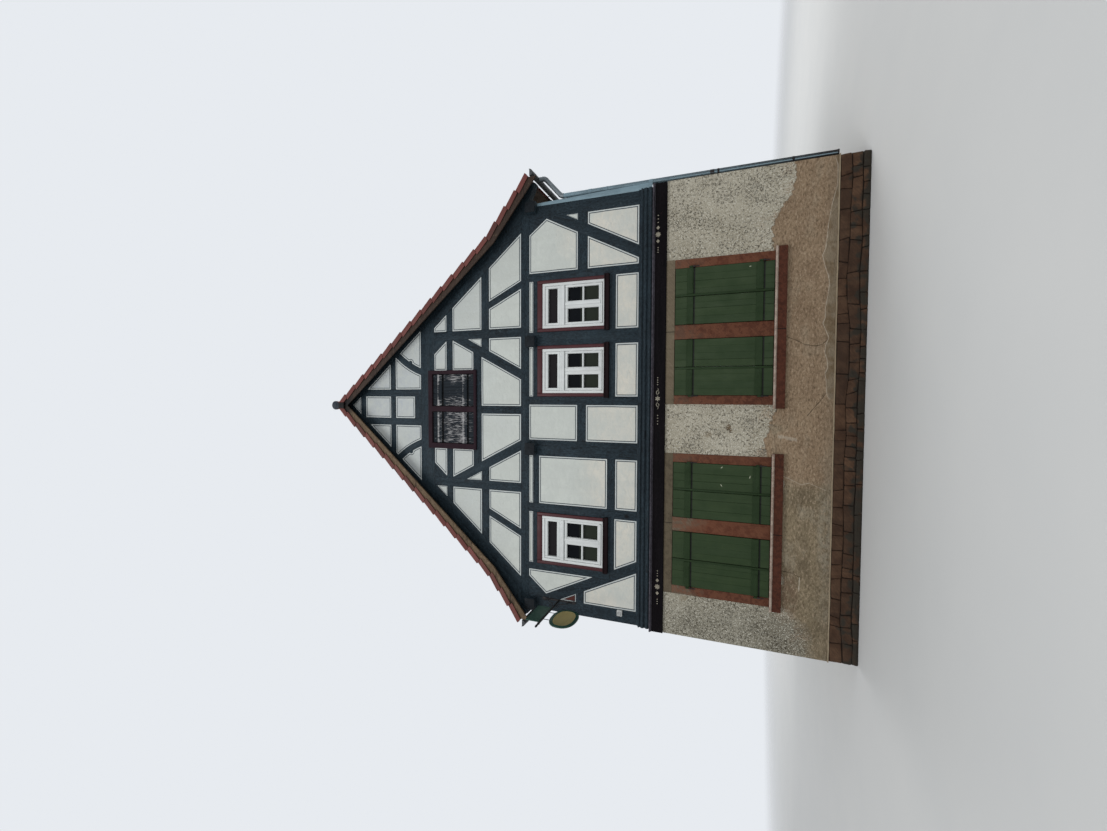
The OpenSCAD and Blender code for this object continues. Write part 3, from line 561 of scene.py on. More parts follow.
class Finish:
    """A material under construction: its tree, its shader, its place and the
    colour laid so far."""

    def __init__(self, name, base, roughness, specular=0.4, metallic=0.0):
        self.material = bpy.data.materials.new(name)
        self.material.use_nodes = True
        self.tree, self.tone = self.material.node_tree, base
        self.shader = self.tree.nodes["Principled BSDF"]
        self.shader.inputs["Roughness"].default_value = roughness
        self.shader.inputs["Metallic"].default_value = metallic
        self.shader.inputs["Specular IOR Level"].default_value = specular
        self.at = here(self.tree)

    def told(self, name):
        """An attribute of the piece."""
        made = add(self.tree, "Attribute", attribute_name=name)
        return Flow(made, "Vector" if name == "grain" else "Fac")

    def use(self, group, **given):
        """The masks of an effect, at this piece's own place, grain and edges."""
        made = self.tree.nodes.new("ShaderNodeGroup")
        made.node_tree = group
        for socket in made.inputs:
            name = socket.name
            own = given[name] if name in given else self.at if name == "Place" else self.told(name.lower())
            feed(self.tree, socket, own)
        return {socket.name: Flow(made, socket.name) for socket in made.outputs}

    def lay(self, *coats):
        """Lays colours over what is there, each one where its mask shows."""
        self.tone = layers(self.tone, *coats)
        feed(self.tree, self.shader.inputs["Base Color"], self.tone)

    def rough(self, value):
        feed(self.tree, self.shader.inputs["Roughness"], value)

    def relief(self, height, depth, strength=1.0):
        """Raises the surface by a height from 0 to 1 over a depth in metres."""
        bump = add(self.tree, "Bump", Height=height, Distance=depth, Strength=strength)
        earlier = self.shader.inputs["Normal"]
        if earlier.is_linked:
            self.tree.links.new(earlier.links[0].from_socket, bump.inputs["Normal"])
        self.tree.links.new(bump.outputs[0], earlier)


def oiled_timber(name, base, light, dark, worn, wear=0.35, sheen=0.65, depth=0.004, knots=(), gloss=0.18):
    """Paint on old timber: grain and cracks through it, dust and worn edges, and
    dark spots at measured places of the street front, for a knot in the wood and for a painted shadow."""
    f = Finish(name, base, sheen, gloss)
    wood, cloudy = f.use(FIBRES, Fineness=1.0), f.use(BLOTCHES, Size=0.45)
    bare = f.use(EDGE_WEAR, Amount=wear)["Worn"]
    lumps = cloud(moved(f.told("grain"), (0.5, 1.0, 1.0)), 38.0, 4.0, 0.8)
    # The hewn lumps are painted lighter on their raised parts and darker in their hollows: painted highlight
    # and shade of the relief
    f.lay((wood["Fibre"] * 0.5, light), (lumps.span(0.49, 0.62, 0.0, 0.85), light),
          (lumps.span(0.49, 0.37, 0.0, 0.9), dark), (cloudy["Patches"] * 0.45, dark),
          (f.told("tint").span(0, 1, 0.0, 0.25), light), (cloudy["Runs"] * 0.22, light),
          (wood["Knots"] * 0.6, dark), (bare * 0.5, worn), (wood["Cracks"] * 0.85, (9, 10, 11)))
    for x, z, radius in knots:
        f.lay((round_mark(f.at, x, z, radius, radius * 1.2, low=0.5, high=1.1) * 0.9, (5, 6, 8)))
    f.rough(wood["Fibre"].span(0, 1, sheen + 0.12, sheen - 0.08))
    f.relief(wood["Fibre"] * 0.35 - (wood["Cracks"] + bare * 0.2), depth, 0.7)
    f.relief(lumps, 0.008, 0.6)
    return f.material


def painted_joinery(name, base, shade, worn, sheen=0.35, wear=0.4, dirt=0.25, dust=None, gloss=0.25,
                    chips=(), shadow_ledges=()):
    """Gloss paint on planed wood: faint brush marks, dirt, chipped edges, chips
    at measured places of the front, and a painted shadow just below some heights."""
    f = Finish(name, base, sheen, gloss)
    marks, cloudy = f.use(FIBRES, Fineness=2.2), f.use(BLOTCHES, Size=0.3)
    bare = f.use(EDGE_WEAR, Amount=wear)["Worn"]
    f.lay((cloudy["Patches"] * 0.5, shade), (f.told("tint").span(0, 1, 0.0, 0.35), shade),
          (cloudy["Runs"] * dirt, dust or shade), (marks["Fibre"] * 0.22, shade),
          (marks["Knots"] * 0.5, shade), (bare, worn))
    # Painted shadow: a dark band just below each given height, where a batten throws its shade
    for ledge in shadow_ledges:
        off = ledge - f.at.axes()[2]
        f.lay((off.span(0.014, 0.034, 1.0, 0.0) * off.span(-0.004, 0.0), (6, 9, 5)))
    for x, z, turn, long in chips:
        chip = round_mark(f.at, x, z, long, 0.0055, turn)
        f.lay((chip, (176, 178, 156)))
        bare = bare.either(chip)
    f.rough(cloudy["Patches"].span(0, 1, sheen, sheen + 0.15))
    f.relief(marks["Fibre"] * 0.3 - bare, 0.0012, 0.6)
    return f.material


def dressed_stone(name, base, light, dark, chiselled=0.4, weathered=None, heights=None, where=None):
    """Sandstone with chisel strokes. A weathered colour can take over between two
    heights, more or less strongly along the front."""
    f = Finish(name, base, 0.88, 0.25)
    grains, cloudy = f.use(SPECKLE, Scale=160.0), f.use(BLOTCHES, Size=0.22)
    strokes, bare = f.use(TOOLED)["Strokes"], f.use(EDGE_WEAR, Amount=0.8)["Worn"]
    f.lay((cloudy["Patches"], light), (f.told("tint").span(0, 1, 0.0, 0.5), dark))
    if weathered:
        x, _, z = f.at.axes()
        shown = (z + cloud(f.at, 6.0, 4.0).span(0.3, 0.7, -0.25, 0.25)).span(*heights)
        f.lay((shown * x.span(*where) if where else shown, weathered))
    f.lay((cloudy["Runs"] * 0.4, dark), (strokes * 0.3, dark), (grains["Light"] * 0.35, light),
          (grains["Dark"] * 0.4, dark), (bare * 0.5, light))
    f.relief(strokes * chiselled + cloud(f.at, 40.0, 5.0, 0.7) * 0.5, 0.006, 0.8)
    return f.material


def plain_metal(name, base, dull, stain, metallic, sheen):
    """Sheet or iron with a dull bloom and run marks."""
    f = Finish(name, base, sheen, metallic=metallic)
    cloudy, grains = f.use(BLOTCHES, Size=0.25), f.use(SPECKLE, Scale=90.0)
    f.lay((cloudy["Patches"] * 0.7, dull), (cloudy["Runs"] * 0.5, stain), (grains["Dark"] * 0.3, stain))
    f.rough(cloudy["Patches"].span(0, 1, sheen - 0.08, sheen + 0.2))
    f.relief(cloud(f.at, 30.0, 4.0), 0.0015, 0.4)
    return f.material


def lime_plaster(name, base, shade, stain, depth=0.003, runs=0.3, others=()):
    """Smooth plaster laid by hand: slow waves, fine sand, faint stains. Other
    colours can take over between two heights."""
    f = Finish(name, base, 0.9, 0.2)
    cloudy, grains = f.use(BLOTCHES, Size=0.5), f.use(SPECKLE, Scale=260.0)
    for none, full, other in others:
        height = f.at.axes()[2] + cloud(f.at, 1.3, 3.0).span(0.3, 0.7, -0.4, 0.4)
        f.lay((height.span(none, full), other))
    laid = cloud(moved(f.at, (1.0, 1.0, 1.6), (0.0, 0.5, 0.0)), 8.0, 4.0, 0.6, 0.8)
    f.lay((cloudy["Patches"] * 0.8, shade), (cloudy["Runs"] * runs, stain),
          (grains["Dark"] * 0.2, stain), (laid.span(0.42, 0.62, 0.0, 0.5), shade))
    f.relief(laid, depth * 5, 0.5)
    f.relief(cloud(f.at, 42.0, 4.0, 0.7), depth, 0.5)
    return f.material


# Lines measured on the street front, as X and height or as height and X
TORN_EDGE = [
    (-4.0, 0.66), (-3.7, 0.72), (-3.45, 0.85), (-3.3, 1.05), (-3.15, 1.22), (-1.05, 1.22), (-0.95, 1.28),
    (-0.72, 1.52), (-0.61, 1.58), (-0.49, 1.56), (-0.36, 1.49), (-0.2, 1.45), (-0.08, 1.44), (0.02, 1.37),
    (0.4, 1.28), (2.3, 1.28), (2.62, 1.43), (2.75, 1.46), (3.1, 1.43), (3.3, 1.30), (3.45, 1.15),
    (3.75, 1.07), (4.0, 1.08)]
MEND = [
    (0.21, 0.475), (0.27, 0.515), (0.52, 0.533), (0.61, 0.55), (0.70, 0.515), (0.83, 0.524), (0.94, 0.559),
    (1.06, 0.55), (1.17, 0.506), (1.26, 0.541), (1.4, 0.595), (1.49, 0.559), (1.61, 0.568), (1.79, 0.541),
    (2.0, 0.515), (2.13, 0.533), (2.26, 0.577), (2.45, 0.622), (2.55, 0.58), (2.9, 0.55), (3.2, 0.51),
    (3.5, 0.44), (3.8, 0.44), (3.92, 0.475)]
CRACKS_UP = (
    [(0.515, 1.15), (0.6, 1.07), (0.69, 1.05), (0.84, 1.08), (0.96, 1.15), (1.12, 1.22)],
    [(0.82, -2.66), (0.89, -2.632), (0.95, -2.6), (1.12, -2.58)])
CRACK_ALONG = [(-0.05, 0.78), (0.08, 0.69), (0.185, 0.604), (0.31, 0.53)]
PALE_UP = [(0.5, -1.22), (0.7, -1.14), (0.735, -1.12), (0.85, -1.155), (0.88, -1.14), (1.04, -1.06),
           (1.12, -1.03)]
PALE_ALONG = [(-2.89, 0.85), (-2.65, 0.84)]
SMEAR_UP = [(0.92, -0.445), (1.0, -0.425), (1.2, -0.385)]
OLD_PATCHES = (
    ((-1.9, 0.48, 0.85, 0.14), 0.8, (160, 152, 134)), ((-2.95, 1.0, 0.42, 0.15), 0.9, (118, 98, 80)),
    ((-0.29, 1.27, 0.11, 0.17), 0.8, (142, 132, 112)), ((-3.2, 0.6, 0.5, 0.2), 0.5, (96, 88, 70)))


def wall_render():
    """Roughcast over an older brown coat. On the street front the two meet along
    the line where the upper coat has come off, with cracks and a pale mend below."""
    f = Finish("render_finish", None, 0.93, 0.15)
    x, y, z = f.at.axes()
    # The torn edge of the upper coat, and its ragged outline
    gap = z - drawn(x, TORN_EDGE) + cloud(f.at, 9.0, 5.0, 0.65).span(0.3, 0.7, -0.06, 0.06)
    street = y.span(-4.85, -4.6, 1.0, 0.0)
    far = z - 0.72 + cloud(f.at, 2.2, 5.0, 0.6).span(0.3, 0.7, -0.3, 0.3)
    edge = gap * street + far * (1.0 - street)
    soft = x.span(-3.4, -3.1, 0.14, 0.006)
    upper = edge.span(soft * -1.0, soft)
    # Upper coat, darker towards the left corner as painted shade and darker still low down at that corner,
    # and worn brown above the torn edge
    cast, cloudy = f.use(ROUGHCAST), f.use(BLOTCHES, Size=0.8)
    hole = round_mark(f.at, -0.262, 1.955, 0.055, 0.040, 0.5).either(
        round_mark(f.at, -0.315, 1.925, 0.045, 0.025))
    bare = cloud(f.at, 4.5, 5.0, 0.7).span(0.50, 0.62)
    coat = layers(
        (174, 168, 152), (cloudy["Patches"], (150, 143, 126)), (cloudy["Runs"] * 0.35, (132, 127, 115)),
        # Painted shade beside the left corner
        (x.span(-2.7, -3.6) * 0.85, (128, 124, 111)),
        (x.span(-3.0, -3.5) * z.span(1.7, 1.2, 0.0, 0.7), (104, 98, 85)), (hole, (100, 85, 66)),
        (bare * edge.span(0.32, 0.02, 0.0, 0.7), (140, 119, 98)),
        (cloud(moved(f.at, shift=(3, 1, 6)), 2.6, 3.0).span(0.71, 0.73, 0.0, 0.6), (128, 116, 96)),
        # The low grains and the pits of the roughcast are darkened as painted shade in their hollows, and
        # its pale specks are painted highlights
        (cast["Grain"].span(0.48, 0.34, 0.0, 0.9), (100, 94, 80)), (cast["Pale"] * 0.8, (200, 197, 184)),
        (cast["Pits"] * 0.95, (68, 61, 49)))
    # Older coat below, grey and mottled under the left windows
    mottle = f.use(BLOTCHES, Place=moved(f.at, (1, 1, 1.6), shift=(7, 3, 5)), Size=0.42)["Patches"]
    left = x.span(-1.25, -1.05, 1.0, 0.0) * street
    pale = cloud(moved(f.at, (1.0, 1.0, 2.0)), 1.7, 5.0, 0.65).span(0.52, 0.66)
    older = layers(
        (150, 129, 105), (mottle, (133, 112, 90)), (left, tones(mottle, (138, 126, 102), (104, 95, 76))),
        (pale * left.span(0, 1, 0.25, 0.8), (160, 150, 130)))
    for spot, shown, other in OLD_PATCHES:
        torn_out = cloud(f.at, 11.0, 4.0, 0.7).span(0.35, 0.55)
        patch = round_mark(f.at, *spot, low=0.55, high=1.15) * torn_out * (street * shown)
        older = tones(patch, older, other)
    coarse = cloud(moved(f.at, (1, 1, 1.9), (0.0, 0.45, 0.0)), 19.0, 5.0, 0.7, 0.3)
    sand = cloud(f.at, 85.0, 3.0, 0.7)
    # The lumps of the older coat are lighter on top and darker in their hollows, and its low sand grains
    # darker: painted highlight and shade of its relief
    older = layers(
        older, (coarse.span(0.47, 0.34, 0.0, 0.75), (84, 70, 55)),
        (coarse.span(0.53, 0.66, 0.0, 0.65), (184, 164, 140)),
        (sand.span(0.48, 0.34, 0.0, 0.5), (84, 72, 58)))
    # A dark line along the torn edge, except at the far left: a painted shadow of the step where the upper
    # coat ends
    rim = abs(edge).span(0.0, 0.012, 1.0, 0.0) * x.span(-3.4, -3.1)
    # Marks of the street front: the foot of the wall, cracks, and the pale mend
    below = (drawn(x, MEND) - z).span(0.0, 0.012) * (x.span(0.2, 0.24) * street)
    foot = tones(cloud(f.at, 5.0, 4.0).span(0.45, 0.6), (132, 122, 104), (98, 82, 58))
    dark = thin_mark(z, x, CRACKS_UP[0], 0.006).either(thin_mark(z, x, CRACKS_UP[1], 0.006))
    dark = dark.either(thin_mark(x, z, CRACK_ALONG, 0.007))
    light = thin_mark(x, z, MEND, 0.007).either(thin_mark(z, x, PALE_UP, 0.006))
    light = light.either(thin_mark(x, z, PALE_ALONG, 0.011)).either(thin_mark(z, x, SMEAR_UP, 0.035) * 0.6)
    f.tone = older
    f.lay((upper, coat), (rim * 0.6, (88, 74, 60)), (below * 0.75, foot), (dark * street, (58, 48, 38)),
          (light * street * 0.85, (186, 176, 160)), (z.span(0.41, 0.62, 0.3, 0.0), (92, 84, 72)))
    pits = cast["Pits"] * upper * 0.5 + dark * 0.6
    f.relief(upper * 0.8 - pits + coarse * upper.span(0, 1, 2.0, 0.2), 0.016, 0.9)
    f.relief(cast["Grain"] + sand * 0.5, 0.005, 0.7)
    f.relief(cloud(f.at, 3.0, 3.0), 0.03, 0.5)
    return f.material


def fired_tile():
    """Brick red clay tiles, each a little different, with dark and mossy ones."""
    f = Finish("tile_finish", (110, 55, 49), 0.72, 0.35)
    tint, cloudy, grains = f.told("tint"), f.use(BLOTCHES, Size=0.9), f.use(SPECKLE, Scale=140.0)
    growth = cloud(f.at, 9.0, 5.0, 0.7).span(0.6, 0.72)
    f.lay((tint, (90, 46, 42)), (tint.span(0.88, 0.96), (74, 46, 42)),
          (cloudy["Patches"] * 0.5, (84, 52, 46)), (growth * 0.5, (92, 84, 66)),
          (grains["Dark"] * 0.4, (70, 42, 36)))
    f.rough(tint.span(0, 1, 0.62, 0.8))
    f.relief(cloud(f.at, 60.0, 4.0, 0.7), 0.002, 0.5)
    return f.material


def flaking_boards(name, lost):
    """Old dark boards whose pale paint hangs on in upright flakes."""
    f = Finish(name, (17, 22, 27), 0.85, 0.2)
    wood = f.use(FIBRES, Fineness=1.6)
    flakes = cloud(moved(f.at, (62.0, 62.0, 7.5)), 1.0, 5.0, 0.72, 0.1)
    x, _, z = f.at.axes()
    band = abs(z - 7.25).span(0.14, 0.40, -0.005, 0.0 if lost else 0.12)
    # The middle of the right leaf has lost nearly all of its paint
    worn = abs(x - 0.385).span(0.08, 0.19, 0.11, 0.0)
    flakes = flakes - (band + worn + cloud(f.at, 5.0, 3.0).span(0.4, 0.6, 0.03, -0.03))
    # On the battens they hang on along the upper edge
    for foot in HATCH_BATTENS if lost else ():
        flakes = flakes + abs(z - (foot + HATCH_BATTEN_TALL)).span(0.012, 0.06, 0.16, 0.0)
    flakes = flakes - lost
    shown = flakes.span(0.50, 0.55)
    f.lay((wood["Fibre"], (33, 40, 46)), (shown * 0.8, (134, 133, 134)),
          (flakes.span(0.56, 0.66, 0.0, 0.6), (176, 175, 174)), (wood["Cracks"] * 0.9, (8, 8, 8)))
    # Painted shadow just below each batten
    for foot in () if lost else HATCH_BATTENS:
        off = foot - z
        f.lay((off.span(0.022, 0.045, 0.95, 0.0) * off.span(-0.004, 0.0), (5, 7, 9)))
    f.relief(wood["Fibre"] * 0.5 + shown, 0.002, 0.8)
    return f.material


def bare_wood(name, base, light, dark):
    """Weathered or inside boards without paint."""
    f = Finish(name, base, 0.8)
    wood, cloudy = f.use(FIBRES, Fineness=1.3), f.use(BLOTCHES, Size=0.6)
    f.lay((wood["Fibre"], light), (cloudy["Patches"] * 0.5, dark),
          (f.told("tint").span(0, 1, 0.0, 0.4), dark), (wood["Cracks"] * 0.8, (20, 16, 12)))
    f.relief(wood["Fibre"] - wood["Cracks"], 0.003, 0.6)
    return f.material


def floor_boards(name, base, light, dark):
    """Boards of an inner floor on a plain CAD slab, from the place alone."""
    f = Finish(name, base, 0.7)
    row = f.at.axes()[1].math("DIVIDE", 0.16)
    own = Flow(add(f.tree, "TexWhiteNoise", noise_dimensions="1D", W=row.math("FLOOR")))
    gap = abs(row.math("FRACT") - 0.5).span(0.475, 0.495)
    grain = cloud(moved(f.at, (1.0, 18.0, 18.0)), 1.5, 5.0, 0.6)
    f.lay((own, light), (grain.span(0.35, 0.65, 0.0, 0.6), dark), (gap, (30, 24, 20)))
    f.relief(grain * 0.3 - gap, 0.003, 0.7)
    return f.material


def window_pane():
    """Old float glass, painted dark as the shade of the dark rooms behind it, a little paler in the top
    lights, with blinds behind the lower panes.
    """
    f = Finish("pane_finish", (5, 8, 13), 0.05, 0.08)
    cloudy, height = f.use(BLOTCHES, Size=0.35), f.at.axes()[2]
    f.lay((cloudy["Patches"], (12, 15, 19)), (height.span(5.0, 5.02), (31, 28, 30)),
          (height.span(4.56, 4.60, 1.0, 0.0) * 0.9, (40, 45, 37)))
    f.rough(cloudy["Patches"].span(0, 1, 0.04, 0.1))
    f.relief(cloud(f.at, 3.0, 1.0), 0.004, 0.12)
    return f.material

# Finishes of this house

TIMBER = oiled_timber("timber_finish", (19, 30, 37), (42, 56, 64), (5, 9, 13),
                      (62, 73, 77), knots=((-1.93, 3.67, 0.045), (-3.98, 4.1, 0.03), (0.17, 5.0, 0.025)))
BEAM_END = oiled_timber("beam_end_finish", (6, 10, 14), (18, 26, 32), (2, 3, 5),
                        (50, 60, 66), wear=0.3)
BOARD_BLACK = oiled_timber("board_finish", (9, 6, 9), (17, 13, 16), (4, 3, 4),
                           (52, 34, 34), wear=0.2, depth=0.002, gloss=0.06)
BOARD_ROLL = oiled_timber("board_roll_finish", (60, 57, 64), (84, 80, 88),
                          (34, 31, 37), (66, 44, 44), wear=0.4, depth=0.002)
# The dark spot at the apex of both verge finishes is a painted shadow under the ridge cap
VERGE_DARK = oiled_timber("verge_finish", (48, 36, 31), (66, 52, 43), (32, 24, 22),
                          (92, 80, 64), wear=0.4, knots=((0.04, 10.05, 0.3),))
VERGE_PALE = oiled_timber("verge_pale_finish", (84, 67, 51), (110, 93, 72),
                          (50, 37, 29), (126, 110, 88), wear=0.5, knots=((0.04, 10.05, 0.3),))
ROOF_WOOD = bare_wood("roof_wood_finish", (70, 56, 46), (96, 78, 62), (48, 38, 32))
ATTIC_WOOD = floor_boards("attic_floor_finish", (118, 92, 66), (138, 110, 80), (84, 64, 46))
UPPER_WOOD = floor_boards("upper_floor_finish", (92, 74, 58), (112, 90, 70), (64, 50, 40))
GROUND_SLAB = lime_plaster("ground_floor_finish", (128, 118, 104), (108, 98, 86), (92, 84, 74))
# The plaster is warmer below about 4.5 m, and from 5.9 m up it turns greyer and darker towards the gable top
# as painted shade under the roof
PLASTER = lime_plaster("plaster_finish", (195, 199, 193), (184, 188, 183), (160, 160, 150),
                       depth=0.006, runs=0.14,
                       others=((4.75, 4.35, (206, 202, 191)), (5.9, 9.6, (160, 166, 173))))
PLASTER_BAND = lime_plaster("plaster_band_finish", (196, 200, 198), (180, 185, 184),
                            (144, 148, 147), depth=0.002)
PLASTER_LINE = lime_plaster("plaster_line_finish", (54, 61, 67), (74, 82, 87), (42, 48, 53),
                            depth=0.002)
BRICK_RED = lime_plaster("brick_panel_finish", (84, 46, 40), (68, 40, 36), (48, 32, 32))
RENDER = wall_render()
RENDER_EDGE = lime_plaster("render_edge_finish", (150, 136, 114), (128, 114, 95), (100, 88, 70))
PLINTH_STONE = dressed_stone("plinth_finish", (66, 45, 31), (94, 70, 52), (34, 24, 18),
                             chiselled=0.1, weathered=(46, 43, 36), heights=(0.05, 0.17, 1.0, 0.0))
JOINT_DARK = lime_plaster("open_joint_finish", (18, 14, 12), (12, 9, 8), (8, 7, 6))
MORTAR = lime_plaster("mortar_finish", (42, 33, 27), (32, 25, 21), (24, 19, 16))
RED_STONE = dressed_stone("sandstone_finish", (88, 47, 31), (106, 67, 48), (60, 33, 23),
                          weathered=(103, 90, 75), heights=(2.25, 2.7), where=(-1.6, -1.2, 1.0, 0.35))
SILL_STONE = dressed_stone("sill_finish", (68, 33, 20), (88, 49, 34), (46, 23, 15))
SILL_NOSE = dressed_stone("sill_nose_finish", (154, 142, 130), (180, 166, 152), (116, 88, 76),
                          chiselled=0.05)
PALE_STONE = dressed_stone("lintel_finish", (80, 71, 56), (98, 88, 71), (56, 48, 37),
                           weathered=(120, 108, 90), heights=(1.0, 1.1), where=(-0.4, 0.4, 0.1, 0.8))
WHITE_PAINT = painted_joinery("window_finish", (210, 213, 212), (190, 193, 192),
                              (170, 168, 162), sheen=0.4, wear=0.15, dirt=0.18,
                              dust=(150, 148, 142))
CASING_RED = painted_joinery("casing_finish", (68, 25, 29), (52, 19, 23), (104, 76, 72),
                             sheen=0.45, wear=0.3)
# The sill board and its strip are painted nearly black, as painted shade
CASING_SILL = painted_joinery("casing_sill_finish", (22, 7, 10), (14, 6, 8), (70, 48, 46),
                              sheen=0.6, wear=0.25, gloss=0.1)
HATCH_MAROON = painted_joinery("hatch_frame_finish", (42, 26, 32), (32, 22, 28),
                               (98, 84, 84), sheen=0.7, wear=0.3, gloss=0.12)
# The shutter boards get a dark band of painted shadow just below each batten
GREEN = painted_joinery("shutter_finish", (41, 57, 28), (29, 46, 24), (104, 112, 88),
                        sheen=0.5, wear=0.25, dirt=0.3, dust=(56, 70, 46), gloss=0.2,
                        chips=((-1.243, 2.053, -0.6, 0.022), (-1.076, 1.608, 0.25, 0.024),
                               (-0.94, 2.05, 0.8, 0.020), (2.372, 1.658, 1.5, 0.016)),
                        shadow_ledges=(1.453, 2.545))
GREEN_BATTEN = painted_joinery("batten_finish", (37, 53, 30), (27, 41, 21), (84, 94, 66),
                               sheen=0.5, wear=0.35, dirt=0.3, dust=(48, 62, 38), gloss=0.12)
DOOR_GREEN = painted_joinery("door_finish", (38, 54, 34), (30, 44, 30), (96, 104, 86))
IRON = plain_metal("iron_finish", (26, 26, 28), (40, 38, 38), (58, 44, 36), 0.4, 0.6)
ZINC = plain_metal("zinc_finish", (112, 120, 124), (92, 98, 102), (74, 78, 80), 0.55, 0.45)
ZINC_BLUE = plain_metal("painted_zinc_finish", (118, 140, 150), (104, 126, 136),
                        (84, 98, 104), 0.15, 0.5)
GUTTER = plain_metal("gutter_finish", (74, 76, 78), (58, 60, 62), (48, 46, 44), 0.5, 0.5)
RIDGE_SLATE = plain_metal("ridge_end_finish", (34, 42, 52), (24, 30, 38), (16, 20, 26), 0.0, 0.7)
TILE = fired_tile()
PANE = window_pane()
FLAKING = flaking_boards("flaking_board_finish", 0.0)
FLAKED_BATTEN = flaking_boards("flaked_batten_finish", 0.035)
ORNAMENT = painted_joinery("ornament_finish", (146, 140, 126), (112, 106, 94),
                           (64, 58, 54), sheen=0.6)
SIGN_GREEN = painted_joinery("sign_green_finish", (30, 66, 54), (24, 50, 42), (92, 104, 92))
SIGN_OCHRE = painted_joinery("sign_ochre_finish", (150, 138, 92), (128, 116, 76), (96, 92, 70),
                             sheen=0.5)
BOX_WHITE = painted_joinery("box_finish", (206, 208, 206), (184, 186, 184), (150, 150, 146),
                            sheen=0.45, wear=0.1)


# CAD nodes that stay as they are
for name, material in {
    "plinth": MORTAR, "ground_floor": GROUND_SLAB, "front_wall": RENDER, "side_walls": RENDER,
    "back_wall": RENDER, "upper_floor": UPPER_WOOD, "attic_floor": ATTIC_WOOD, "infill_panels": PLASTER,
    "window_glass": PANE, "lightning_rod": IRON, "shutter_pintles": IRON,
}.items():
    nodes[name].data.materials.clear()
    nodes[name].data.materials.append(material)


# Timber frame

for name, sources, ease in (
    ("frame_posts", ["posts"], 0.005), ("frame_rails", ["rails"], 0.005),
    ("frame_braces", ["braces"], 0.005),
    ("frame_struts", ["gable_struts"], 0.005), ("frame_tie_beams", ["tie_beams"], 0.006),
    ("frame_long_beams", ["long_beams"], 0.010), ("roof_rafters", ["left_rafters", "right_rafters"], 0.004),
    ("roof_collars", ["collar_beams"], 0.004),
):
    finish, slot = (ROOF_WOOD, "floor_wood") if name == "roof_collars" else (TIMBER, "timber_paint")
    piece = settle(lay_grain(eased(name, sources, ease)), [finish, BEAM_END], slot, *sources)
    if name == "frame_long_beams":
        refinish(piece, 1, lambda f: f.center.y < FRONT - 0.008)
    for vert in piece.data.vertices:
        # One rail of the back gable runs on to its post
        if name == "frame_rails" and vert.co.y > 4.5 and 0.09 < vert.co.x < 0.11 and 7.34 < vert.co.z < 7.51:
            vert.co.x -= 0.04


def frame_sills():
    """The moulded sill beams round the upper storey."""
    piece = eased("frame_sill_beams", ["sill_beams"], 0.003, corner=40, shortest=0.01)
    lay_grain(piece, 0)
    mesh = piece.data
    at = places(mesh)
    along_side = np.abs(at[:, 1]) < 4.5
    grain = at.copy()
    grain[along_side] = at[along_side][:, [1, 0, 2]]
    mesh.attributes["grain"].data.foreach_set("vector", grain.ravel())
    return settle(piece, TIMBER, "timber_paint", "sill_beams", smooth=40)


frame_sills()


# Plaster fields

BAND, LINE, BACKSET = 0.021, 0.016, 0.008


